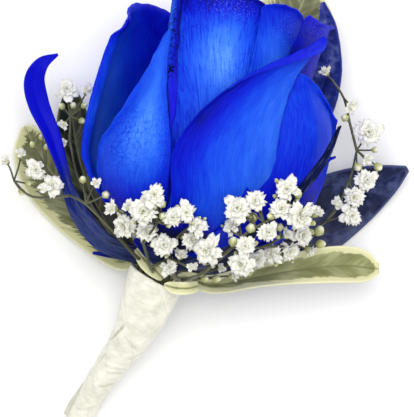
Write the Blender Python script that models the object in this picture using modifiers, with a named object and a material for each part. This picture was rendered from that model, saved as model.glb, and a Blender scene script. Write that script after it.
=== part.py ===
# Rose corsage: a dyed rose with its stem and sepals, six backing leaves, five sprays of
# baby's breath and the white tape that binds their stems. It lies on its back: +Y runs from
# the taped stem to the top of the bloom, +X to its right, and +Z up from the surface.
# The origin is on the flat underside of the backing leaf that the bloom rests on.
import math
import random

import bmesh
import bpy
from mathutils import Matrix, Vector
from mathutils.bvhtree import BVHTree

mm = 0.001

# Driving dimensions, in millimetres
petalThickness = 0.65
leafThickness = 0.65
neighbourGap = 0.5      # air between a spray's part and what it lies on
bloomRoot = Vector((-11.6, -26.0, 24.5))
bloomTop = Vector((1.4, 35.7, 30.0))
backReach = 24.6         # radius of the bloom on the side that it lies on
flatLevel = leafThickness / 2
stemRadius = 2.1
hipRadius = 4.1
tapeWall = 0.6
sprayStem = 0.42         # radius of a spray's main stem
pedicel = 0.33           # radius of the stalk under one floret
stalkStep = 3.3          # between two corners of a main stalk that lies on the bloom
freeStalk = 8.0          # how far from the mouth such a stalk hangs free
pedicelStep = 4.0
stalkReach = 1.5         # how far round a stalk the height below it is looked for
floretReach = 1.35       # the same round a floret, in its radii
floretSeat = 0.8         # a floret's centre over what it lies on, in its radii
seed = 11
weldReach = 0.00002      # metres
sharpAngle = 50


def clearScene():
    for thing in list(bpy.data.objects):
        bpy.data.objects.remove(thing, do_unlink=True)


def material(name, colour, roughness):
    made = bpy.data.materials.new(name)
    made.use_nodes = True
    shader = made.node_tree.nodes["Principled BSDF"]
    red, green, blue = (int(colour[i:i + 2], 16) / 255 for i in (0, 2, 4))
    shader.inputs["Base Color"].default_value = (red ** 2.2, green ** 2.2, blue ** 2.2, 1)
    shader.inputs["Roughness"].default_value = roughness
    shader.inputs["Metallic"].default_value = 0
    made.diffuse_color = (red, green, blue, 1)
    return made


def smoothRow(points, t):
    """The point at t, 0 to 1, on the smooth curve through evenly spaced points."""
    points = [Vector(p) for p in points]
    last = len(points) - 1
    spot = min(max(t, 0), 1) * last
    i = min(int(spot), last - 1)
    f = spot - i
    before = points[i - 1] if i > 0 else points[0] * 2 - points[1]
    after = points[i + 2] if i + 2 <= last else points[last] * 2 - points[last - 1]
    a, b = points[i], points[i + 1]
    return 0.5 * (2 * a + (b - before) * f + (2 * before - 5 * a + 4 * b - after) * f * f
                  + (3 * a - before - 3 * b + after) * f ** 3)


def smoothTable(table, x):
    """A smooth value at x between the pairs of a table."""
    x = min(max(x, table[0][0]), table[-1][0])
    i = 0
    while i < len(table) - 2 and x > table[i + 1][0]:
        i += 1
    slopes = []
    for j in (i, i + 1):
        low, high = table[max(j - 1, 0)], table[min(j + 1, len(table) - 1)]
        slopes.append((high[1] - low[1]) / (high[0] - low[0]))
    (x0, y0), (x1, y1) = table[i], table[i + 1]
    wide = x1 - x0
    f = (x - x0) / wide
    return ((2 * f ** 3 - 3 * f * f + 1) * y0 + (f ** 3 - 2 * f * f + f) * wide * slopes[0]
            + (3 * f * f - 2 * f ** 3) * y1 + (f ** 3 - f * f) * wide * slopes[1])


def addObject(name, mesh, surface=None):
    thing = bpy.data.objects.new(name, mesh)
    if surface:
        mesh.materials.clear()
        mesh.materials.append(surface)
    bpy.context.scene.collection.objects.link(thing)
    return thing


def evaluatedCopy(thing):
    """A new object with the evaluated mesh of another, which is removed."""
    bpy.context.view_layer.update()
    mesh = bpy.data.meshes.new_from_object(thing.evaluated_get(bpy.context.evaluated_depsgraph_get()))
    made = addObject(thing.name + "_solid", mesh)
    made.matrix_world = thing.matrix_world
    bpy.data.objects.remove(thing, do_unlink=True)
    return made


def shapedGrid(name, place, across, along, thickness, closed=False, offset=0.0):
    """A grid whose corners go where place(s, t) says, s from -1 to 1 and t from 0 to 1."""
    sheet = bmesh.new()
    bmesh.ops.create_grid(sheet, x_segments=across, y_segments=along, size=1)
    for corner in sheet.verts:
        corner.co = Vector(place(corner.co.x, (corner.co.y + 1) / 2)) * mm
    if closed:
        bmesh.ops.remove_doubles(sheet, verts=sheet.verts, dist=weldReach)
    bmesh.ops.triangulate(sheet, faces=sheet.faces, quad_method="SHORT_EDGE")
    mesh = bpy.data.meshes.new(name)
    sheet.to_mesh(mesh)
    sheet.free()
    thing = addObject(name, mesh)
    wall = thing.modifiers.new("Thickness", "SOLIDIFY")
    wall.thickness = thickness * mm
    wall.offset = offset
    wall.use_even_offset = True
    wall.thickness_clamp = 1.0
    return evaluatedCopy(thing)


def tube(name, points, radii, resolution=0):
    """A closed tube along points in millimetres, its caps welded on."""
    curve = bpy.data.curves.new(name, "CURVE")
    curve.dimensions = "3D"
    curve.bevel_depth = mm
    curve.bevel_resolution = resolution
    curve.use_fill_caps = True
    line = curve.splines.new("POLY")
    line.points.add(len(points) - 1)
    for i, point in enumerate(points):
        line.points[i].co = (*(Vector(point) * mm), 1)
        line.points[i].radius = radii[i]
    made = evaluatedCopy(addObject(name, curve))
    solid = bmesh.new()
    solid.from_mesh(made.data)
    bmesh.ops.remove_doubles(solid, verts=solid.verts, dist=weldReach / 4)
    bmesh.ops.recalc_face_normals(solid, faces=solid.faces)
    solid.to_mesh(made.data)
    solid.free()
    return made


def turned(name, centre, axis, rings, sides, flute=0.0, phase=0.0):
    """A closed turned body: rings of (height, radius) from pole to pole, fluted if asked."""
    ball = bmesh.new()
    bmesh.ops.create_uvsphere(ball, u_segments=sides, v_segments=len(rings) - 1, radius=1)
    turn = Vector((0, 0, 1)).rotation_difference(Vector(axis)).to_matrix()
    last = len(rings) - 1
    for corner in ball.verts:
        level = round((1 - math.acos(max(-1, min(1, corner.co.z))) / math.pi) * last)
        height, radius = rings[level]
        angle = math.atan2(corner.co.y, corner.co.x)
        sector = math.floor(angle * sides / math.tau + 0.25)
        ripple = 1 + flute * (1 if (sector + level) % 2 else -1)
        round_ = Vector((math.cos(angle + phase), math.sin(angle + phase), 0)) * radius * ripple
        if level in (0, last):
            round_ = Vector((0, 0, 0))
        corner.co = (Vector(centre) + turn @ (round_ + Vector((0, 0, height)))) * mm
    bmesh.ops.triangulate(ball, faces=ball.faces)
    bmesh.ops.recalc_face_normals(ball, faces=ball.faces)
    mesh = bpy.data.meshes.new(name)
    ball.to_mesh(mesh)
    ball.free()
    return addObject(name, mesh)


def fused(name, pieces, surface):
    """One closed solid from overlapping ones; sealed pockets are filled, loose scraps dropped."""
    first = pieces[0]
    if len(pieces) > 1:
        basket = bpy.data.collections.new(name + "_pieces")
        bpy.context.scene.collection.children.link(basket)
        for piece in pieces[1:]:
            bpy.context.scene.collection.objects.unlink(piece)
            basket.objects.link(piece)
        union = first.modifiers.new("Union", "BOOLEAN")
        union.operation = "UNION"
        union.operand_type = "COLLECTION"
        union.collection = basket
        union.solver = "MANIFOLD"
        first = evaluatedCopy(first)
        for piece in list(basket.objects):
            bpy.data.objects.remove(piece, do_unlink=True)
        bpy.data.collections.remove(basket)
    solid = bmesh.new()
    solid.from_mesh(first.data)
    bmesh.ops.transform(solid, matrix=first.matrix_world, verts=solid.verts)
    bmesh.ops.triangulate(solid, faces=solid.faces)
    dropFlatPairs(solid)
    keepLargestShell(solid)
    mesh = bpy.data.meshes.new(name)
    solid.to_mesh(mesh)
    solid.free()
    bpy.data.objects.remove(first, do_unlink=True)
    made = addObject(name, mesh, surface)
    for face in mesh.polygons:
        face.material_index = 0
    mesh.shade_smooth()
    mesh.set_sharp_from_angle(angle=math.radians(sharpAngle))
    return made


def keepLargestShell(solid):
    shells = []
    waiting = set(solid.faces)
    while waiting:
        shell = {waiting.pop()}
        edge = list(shell)
        while edge:
            face = edge.pop()
            for line in face.edges:
                for other in line.link_faces:
                    if other in waiting:
                        waiting.discard(other)
                        shell.add(other)
                        edge.append(other)
        shells.append(shell)
    shells.sort(key=lambda shell: -sum(face.calc_area() for face in shell))
    for shell in shells[1:]:
        bmesh.ops.delete(solid, geom=list(shell), context="FACES")


def dropFlatPairs(solid):
    """Two faces on the same three corners enclose nothing, so both go."""
    pairs = {}
    for face in solid.faces:
        pairs.setdefault(frozenset(face.verts), []).append(face)
    flat = [face for pair in pairs.values() if len(pair) > 1 for face in pair]
    bmesh.ops.delete(solid, geom=flat, context="FACES")


# The bloom. Azimuth 0 faces up, away from the surface, and 90 faces right; heights run
# from the bloom's root to its top.
bloomUp = (bloomTop - bloomRoot).normalized()
bloomFront = (Vector((0, 0, 1)) - bloomUp * bloomUp.z).normalized()
bloomRight = bloomUp.cross(bloomFront)


def inBloom(azimuth, radius, height):
    turn = math.radians(azimuth)
    return (bloomRoot + bloomRight * radius * math.sin(turn) + bloomFront * radius * math.cos(turn)
            + bloomUp * height)


def petalPlace(petal, s, t):
    """A petal between its two edges, bellied by its radius table, its rims rolled outward."""
    left = smoothRow([(a, h, 0) for a, h in petal["left"]], t)
    right = smoothRow([(a, h, 0) for a, h in petal["right"]], t)
    mix = (s + 1) / 2
    azimuth = left.x * (1 - mix) + right.x * mix
    height = left.y * (1 - mix) + right.y * mix
    height += petal["crown"] * (1 - s * s) * t ** 3
    radius = smoothTable(petal["radius"], height) + petal.get("cup", 0) * s * s * t
    halfWidth = radius * math.radians(right.x - left.x) / 2
    for side, rollWidth, rollAngle in petal["rolls"]:
        if side == "top":
            inside = (1 - t) * max(left.y, right.y)
        else:
            inside = (1 - s if side == "right" else 1 + s) * halfWidth
            rollWidth = rollWidth * min(1, t * 2.2)
        if rollWidth > 0.05 and inside < rollWidth:
            bend = rollWidth / math.radians(rollAngle)
            past = rollWidth - inside
            out = bend * (1 - math.cos(past / bend))
            back = past - bend * math.sin(past / bend)
            radius += out
            if side == "top":
                height -= back
            else:
                azimuth -= math.degrees(back / max(radius, 3)) * (1 if side == "right" else -1)
    radius += petal.get("ripple", 0) * t * t * math.sin(azimuth / 9)
    return inBloom(azimuth, radius, height)


def petalByRule(middle, spread, top, reach, closing, roll):
    """A plain petal: its middle azimuth, half width in degrees, height, belly and rim radius."""
    edge = [(1.0, 0), (1.06, 0.25), (1.0, 0.55), (0.86, 0.82), (0.6, 0.95)]
    left = [(middle - spread * w, h * top) for w, h in edge]
    right = [(middle + spread * w, h * top) for w, h in edge]
    radius = [(0, 4.5), (0.16 * top, 0.66 * reach), (0.38 * top, 0.97 * reach),
              (0.62 * top, reach), (0.85 * top, reach * (1 + closing) / 2), (top, reach * closing)]
    return {"left": left, "right": right, "crown": 0.06 * top, "radius": radius,
            "rolls": [("top", roll, 75), ("left", roll, 60), ("right", roll, 60)]}


shownPetals = {
    "left_outer": {
        "left": [(-150, 0), (-164, 14), (-170, 30), (-166, 45), (-158, 54)],
        "right": [(-72, 0), (-79, 13), (-76, 27), (-74, 41), (-70, 52)],
        "crown": 3.5,
        "radius": [(0, 5), (8, 17.6), (17, 23.6), (27, 24.4), (38, 23.8), (46, 23.2), (52, 21.4), (58, 19.6)],
        "rolls": [("right", 3.4, 120), ("top", 2.4, 70)], "ripple": 0.4},
    "left_front": {
        "left": [(-58, 1), (-74, 9), (-62, 20), (-46, 31), (-37, 42), (-35, 49)],
        "right": [(-6, 1), (-8.5, 13), (-10.5, 25), (-19.3, 36), (-25.2, 44), (-29.5, 51)],
        "crown": 1.5,
        "radius": [(0, 5), (8, 17), (20, 24), (32, 24.6), (45, 22), (55, 19.2)],
        "rolls": [("left", 1.6, 60)]},
    "middle_front": {
        "left": [(-24, 0), (-24, 15), (-27, 30), (-40, 46), (-51, 60)],
        "right": [(52, 0), (50, 20), (44, 38), (38, 53), (34, 62)],
        "crown": 2.6,
        "radius": [(0, 4), (10, 14), (25, 20), (45, 20.3), (65, 17.2)],
        "rolls": [("left", 5.6, 172), ("top", 2.0, 70)]},
    "middle_right": {
        "left": [(16, 0), (20, 18), (22, 34), (25, 50), (28, 62)],
        "right": [(92, 0), (94, 18), (90, 34), (86, 50), (80, 61)],
        "crown": 2.4,
        "radius": [(0, 4), (10, 15), (25, 21.6), (45, 22.2), (65, 18.8)],
        "rolls": [("top", 1.8, 70), ("left", 1.2, 50)]},
    "right_front": {
        "left": [(-24, 0), (-7, 12), (-9, 25), (2, 37), (20, 46), (40, 52.5), (57, 58.5)],
        "right": [(84, 1), (66, 11), (50, 22), (44, 33), (47, 43), (54, 51), (62, 57.5)],
        "crown": 0.0,
        "radius": [(0, 6), (8, 18.5), (20, 26), (33, 27.4), (45, 26.4), (52, 27.4), (59, 30)],
        "rolls": [("left", 2.6, 95)]},
    "right_outer": {
        "left": [(36, 0), (40, 13), (42, 27), (46, 40), (54, 50)],
        "right": [(104, 0), (112, 12), (114, 24), (104, 33), (86, 39)],
        "crown": 1.0,
        "radius": [(0, 7), (7, 23.5), (17, 30.6), (29, 32.0), (37, 31.2), (45, 27.6), (52, 25.2)],
        "rolls": [("right", 3.0, 80), ("top", 2.4, 70)]},
    "right_low": {
        "left": [(66, 0), (62, 8), (64, 16), (68, 23), (76, 29)],
        "right": [(112, 0), (118, 8), (120, 16), (116, 23), (108, 28)],
        "crown": 2.0,
        "radius": [(0, 7), (6, 23.5), (13, 29.6), (22, 32.2), (31, 32.6)],
        "rolls": [("top", 2.6, 80)], "cup": -3.0},
    "right_back": {
        "left": [(44, 0), (48, 16), (50, 32), (49, 48), (47, 61)],
        "right": [(120, 0), (124, 16), (122, 32), (110, 47), (84, 60)],
        "crown": 2.0,
        "radius": [(0, 5), (9, 18), (24, 24.5), (42, 24.4), (54, 24.6), (62, 25.6)],
        "rolls": [("top", 4.0, 110), ("left", 1.6, 60)]},
}

ruledPetals = [
    # middle, half width, height, reach, closing, rim roll
    (205, 46, 47, 1.0, 0.98, 2.4),
    (158, 42, 45, 1.0, 0.99, 2.4),
    (166, 46, 55, 0.93, 0.92, 2.0),
    (140, 46, 57, 0.85, 0.86, 1.8),
    (180, 44, 59, 0.74, 0.82, 1.4),
    (95, 44, 61, 0.66, 0.80, 1.2),
    (-20, 48, 61.5, 0.54, 0.78, 1.0),
    (110, 50, 62, 0.46, 0.74, 0.8),
    (230, 52, 62, 0.40, 0.72, 0.8),
    (20, 62, 62, 0.28, 0.70, 0.0),
    (190, 70, 62.5, 0.22, 0.60, 0.0),
]


def buildBloom(surface):
    heart = [(0, 0), (1.0, 5.2), (8, 9.0), (18, 10.5), (34, 10.0), (47, 6.0), (53, 3.0), (56, 0)]
    pieces = [turned("heart", bloomRoot, bloomUp, heart, 8)]
    for name, petal in shownPetals.items():
        rows = 7 if name in ("right_front", "left_outer") else 6
        pieces.append(shapedGrid(name, lambda s, t, p=petal: petalPlace(p, s, t), 6, rows, petalThickness))
    for middle, spread, top, reach, closing, roll in ruledPetals:
        petal = petalByRule(middle, spread, top, reach * backReach, closing, roll)
        pieces.append(shapedGrid("ruled", lambda s, t, p=petal: petalPlace(p, s, t), 5, 5, petalThickness))
    return fused("rose_bloom", pieces, surface)


# The binding. Its path runs from its mouth, under the bloom, down to the cut end.
tapePath = [(-15.3, -32.8, 22.0), (-18.5, -41.2, 18.6), (-22.5, -49.2, 14.8), (-26.3, -54.5, 12.0),
            (-29.8, -59.6, 9.4), (-32.7, -64.7, 7.2), (-36.8, -71.6, 4.8), (-41.8, -79.8, 2.331)]
tapeRadii = [6.9, 6.1, 4.5, 3.9, 3.4, 3.0, 2.6, 2.4]


def tapeFrame(t):
    """Centre, direction down the stem, sideways and upward at t along the binding."""
    centre = smoothRow(tapePath, t)
    down = (smoothRow(tapePath, min(t + 0.02, 1)) - smoothRow(tapePath, max(t - 0.02, 0))).normalized()
    side = Vector((0, 0, 1)).cross(down).normalized()
    if side.x < 0:
        side = -side
    upward = side.cross(down)
    if upward.z < 0:
        upward = -upward
    return centre, down, side, upward


def mouthSlot(sideways, upward, depth):
    """A place in the mouth's section, depth below its rim, or above it where negative."""
    centre, down, side, up = tapeFrame(0)
    return centre + side * sideways + up * upward + down * depth


def tapePlace(s, t):
    centre, down, side, up = tapeFrame(t)
    turn = s * math.pi
    radius = smoothTable([(i / (len(tapeRadii) - 1), r) for i, r in enumerate(tapeRadii)], t)
    rim = 1.4 * math.cos(turn + 0.6) * max(0, 1 - t * 6)
    return centre + side * radius * math.sin(turn) + up * radius * math.cos(turn) - down * rim


def buildTape(surface):
    sleeve = shapedGrid("tape_wrap", tapePlace, 12, 8, tapeWall, closed=True, offset=1)
    solid = bmesh.new()
    solid.from_mesh(sleeve.data)
    bmesh.ops.recalc_face_normals(solid, faces=solid.faces)
    solid.to_mesh(sleeve.data)
    solid.free()
    return fused("tape_wrap", [sleeve], surface)


# Leaves and sepals: a spine through points, a half width along it, a fold and a wave.
def leafPlace(leaf, s, t):
    spine = leaf["spine"]
    centre = smoothRow(spine, t)
    along = (smoothRow(spine, min(t + 0.02, 1)) - smoothRow(spine, max(t - 0.02, 0))).normalized()
    turn = math.radians(smoothTable(leaf["turn"], t))
    side = along.cross(Vector((0, 0, 1))).normalized()
    normal = side.cross(along)
    side, normal = (side * math.cos(turn) + normal * math.sin(turn),
                    normal * math.cos(turn) - side * math.sin(turn))
    half = smoothTable(leaf["half"], t)
    fold = math.radians(leaf["fold"]) * min(1, half / 3)
    lift = abs(s) ** 1.3 * half * math.sin(fold)
    ripple = math.sin(leaf["waves"] * math.tau * t + leaf["phase"])
    lift += leaf["wave"] * s * abs(s) * min(1, half / 4) * ripple
    place = centre + side * s * half * math.cos(fold) + normal * lift
    place.z = max(place.z, flatLevel + leaf.get("clear", 0.06))
    return place


level = [(0, 0), (1, 0)]
leaves = {
    "leaf_backing": {
        "spine": [mouthSlot(0.4, -4.5, 6), mouthSlot(0.5, -4.8, -3), (-11.6, -27.6, 6.5),
                  (-8.4, -20.0, flatLevel), (-3.2, -10, flatLevel), (2.0, 0, flatLevel),
                  (7.0, 10, flatLevel), (12.2, 20, flatLevel),
                  (18.4, 30.0, 0.9), (22.4, 38.8, 2.2)],
        "half": [(0, 0.8), (0.18, 0.9), (0.3, 4.6), (0.45, 8.2), (0.6, 9.8), (0.75, 10.2), (0.88, 9.2),
                 (0.96, 6.2), (1, 2.0)],
        "turn": level, "fold": 0, "wave": 0, "waves": 1, "phase": 0, "rows": 12, "clear": 0},
    "leaf_left": {
        "spine": [mouthSlot(-2.1, -3.9, 6), mouthSlot(-2.7, -4.6, -3), (-23.4, -27.2, 9.5),
                  (-31.6, -19.4, 3.2),
                  (-39.2, -11.0, 0.2), (-45.0, -3.2, 2.0), (-48.4, 4.0, 6.0)],
        "half": [(0, 0.8), (0.16, 1.2), (0.34, 5.0), (0.55, 8.0), (0.75, 8.2), (0.9, 5.6), (1, 1.2)],
        "turn": [(0, 0), (0.3, 4), (1, -4)],
        "fold": 14, "wave": 1.1, "waves": 2.3, "phase": 0.5, "rows": 11, "touches": True},
    "leaf_right_dyed": {
        "spine": [mouthSlot(3.6, -2.4, 6), mouthSlot(4.2, -2.8, -3), (-2.0, -33.0, 12.2), (10.2, -27.4, 4.0),
                  (21.6, -20.4, 0.4), (33.6, -13.4, 2.0), (46.6, -6.6, 7.4)],
        "half": [(0, 0.8), (0.2, 1.0), (0.38, 4.6), (0.55, 8.4), (0.7, 9.4), (0.84, 7.4), (0.94, 4.0),
                 (1, 0.8)],
        "turn": level, "fold": 8, "wave": 0.7, "waves": 1.8, "phase": 1.0, "rows": 10, "touches": True},
    "leaf_low_right": {
        "spine": [mouthSlot(4.5, 1.1, 6), mouthSlot(5.5, 1.9, -2.6), (-1.8, -35.0, 21.6), (9.7, -32.9, 21.6),
                  (20.7, -31.1, 20.4), (30.5, -30.4, 18.6), (38.8, -31.2, 17)],
        "half": [(0, 0.7), (0.14, 0.8), (0.3, 2.2), (0.5, 3.4), (0.7, 4.5), (0.85, 4.9), (0.94, 3.9),
                 (1, 1.4)],
        "turn": [(0, 0), (0.3, 22), (1, 12)],
        "fold": 20, "wave": 0.5, "waves": 2.4, "phase": 0.3, "rows": 10},
    "leaf_top_dyed": {
        "spine": [mouthSlot(2.2, -3.9, 6), mouthSlot(2.6, -4.4, -3), (-4.6, -25.6, 7.8), (9.2, -12.4, 4.9),
                  (20.4, 3.1, 5.6), (26.0, 15.8, 8), (26.8, 26.6, 10), (25.4, 34.4, 11)],
        "half": [(0, 0.8), (0.2, 1.0), (0.4, 4.6), (0.62, 5.6), (0.8, 5.2), (0.93, 3.0), (1, 0.8)],
        "turn": [(0, 0), (0.4, 0), (0.6, 24), (1, 30)],
        "fold": 8, "wave": 0.7, "waves": 2.6, "phase": 0.8, "rows": 11},
    "leaf_inner_left": {
        "spine": [mouthSlot(-3.9, -2.6, 6), mouthSlot(-4.6, -3.2, -3), (-23.6, -25.4, 13.2),
                  (-29.8, -16.6, 11.4),
                  (-34.2, -5.7, 11.6), (-36.2, 5.4, 12.4), (-36.4, 13.4, 14)],
        "half": [(0, 0.8), (0.2, 1.0), (0.38, 3.4), (0.6, 5.0), (0.8, 4.6), (0.93, 2.6), (1, 0.8)],
        "turn": [(0, 0), (0.4, -10), (1, -16)],
        "fold": 12, "wave": 0.5, "waves": 2.2, "phase": 0.2, "rows": 9},
}


def buildLeaf(name, leaf, surface):
    blade = shapedGrid(name, lambda s, t: leafPlace(leaf, s, t), 4, leaf["rows"], leafThickness)
    made = fused(name, [blade], surface)
    if leaf.get("touches"):  # the surface that the corsage lies on
        lowest = min(corner.co.z for corner in made.data.vertices)
        made.data.transform(Matrix.Translation((0, 0, -lowest)))
    return made


# The stem with its hip and sepals. A sepal against the bloom is placed by azimuth, radius and
# height, as the petals are.
def onBloom(*places):
    return [inBloom(*place) for place in places]


sepals = {
    "long": {
        "spine": [(-12.4, -28.6, 23.6), (-16.6, -28.4, 24.1), (-22.4, -27.0, 24.7), (-28.6, -24.2, 25.2),
                  (-33.2, -18.8, 25.6), (-36.3, -12.5, 25), (-38.2, -5.9, 24.4), (-40.8, 1.8, 24.6),
                  (-43.7, 8.5, 25.4), (-44.6, 14.2, 27), (-42.6, 18.2, 28.4), (-38.9, 20.6, 27.4)],
        "half": [(0, 1.8), (0.14, 2.1), (0.3, 2.4), (0.42, 1.9), (0.5, 1.2), (0.62, 1.6), (0.78, 2.1),
                 (0.9, 1.5), (1, 0.6)],
        "turn": [(0, -8), (0.5, -22), (0.8, -12), (1, 10)], "fold": 16, "wave": 0.3, "waves": 3, "phase": 0},
    "front_strip": {
        "spine": onBloom((-22, 2.6, -3.2), (-24, 6.5, -2.6), (-28, 12, -0.8), (-31, 17, 1.8)),
        "half": [(0, 1.6), (0.4, 1.7), (0.8, 1.1), (1, 0.6)],
        "turn": [(0, -10), (1, -28)], "fold": 10, "wave": 0.2, "waves": 1, "phase": 0},
    "low_left": {
        "spine": [(-13.2, -28.4, 23.6), (-17.0, -28.4, 23.6), (-21.8, -28.0, 23.5), (-26.4, -27.6, 22.6),
                  (-30.8, -27.2, 22)],
        "half": [(0, 1.5), (0.4, 1.5), (0.8, 1.0), (1, 0.5)],
        "turn": level, "fold": 10, "wave": 0.2, "waves": 1, "phase": 0},
    "right": {
        "spine": onBloom((20, 2.6, -3.2), (24, 7, -2.8), (29, 14, -0.6), (34, 22, 3.4), (40, 30, 11),
                         (50, 34.2, 20.6),
                         (62, 35, 29.6), (72, 34.6, 37.6)),
        "half": [(0, 1.6), (0.2, 1.2), (0.5, 1.2), (0.75, 1.6), (0.9, 1.2), (1, 0.5)],
        "turn": [(0, 0), (0.4, 20), (0.7, 50), (1, 66)], "fold": 14, "wave": 0.2, "waves": 2, "phase": 0},
}


def buildStem(surface):
    inside = [smoothRow(tapePath, t) for t in (1, 0.86, 0.72, 0.58, 0.44, 0.3, 0.16, 0.04)]
    neck = bloomRoot - bloomUp * 6.2
    radii = [stemRadius * size for size in (0.62, 0.68, 0.75, 0.82, 0.9, 0.95, 1, 1, 1, 1.15)]
    path = inside + [Vector(neck), bloomRoot - bloomUp * 3.4]
    pieces = [tube("stem", path, radii, resolution=2)]
    hip = [(-6.4, 0), (-5.6, 2.5), (-3.6, 3.6), (-1.9, hipRadius), (-0.9, 3.4), (-0.6, 0)]
    pieces.append(turned("hip", bloomRoot, bloomUp, hip, 8))
    for name, sepal in sepals.items():
        rows = len(sepal["spine"])
        pieces.append(shapedGrid(name, lambda s, t, p=sepal: leafPlace(p, s, t), 2, rows, leafThickness))
    return fused("rose_stem", pieces, surface)


# Sprays of baby's breath. Each floret's place is (kind, x, y, z, radius) in millimetres; one
# that lies on the bloom takes its height from it.
openRings = [(-0.72, 0), (0.08, 1.0), (0.46, 0.6), (0.4, 0)]
halfRings = [(-0.9, 0), (-0.35, 0.62), (0.3, 0.84), (0.62, 0.6), (0.55, 0)]
budRings = [(-1.1, 0), (-0.35, 0.86), (0.5, 0.72), (1.15, 0)]
kinds = {"open": (openRings, 10, 0.2), "half": (halfRings, 6, 0.14), "bud": (budRings, 5, 0.0)}

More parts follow.
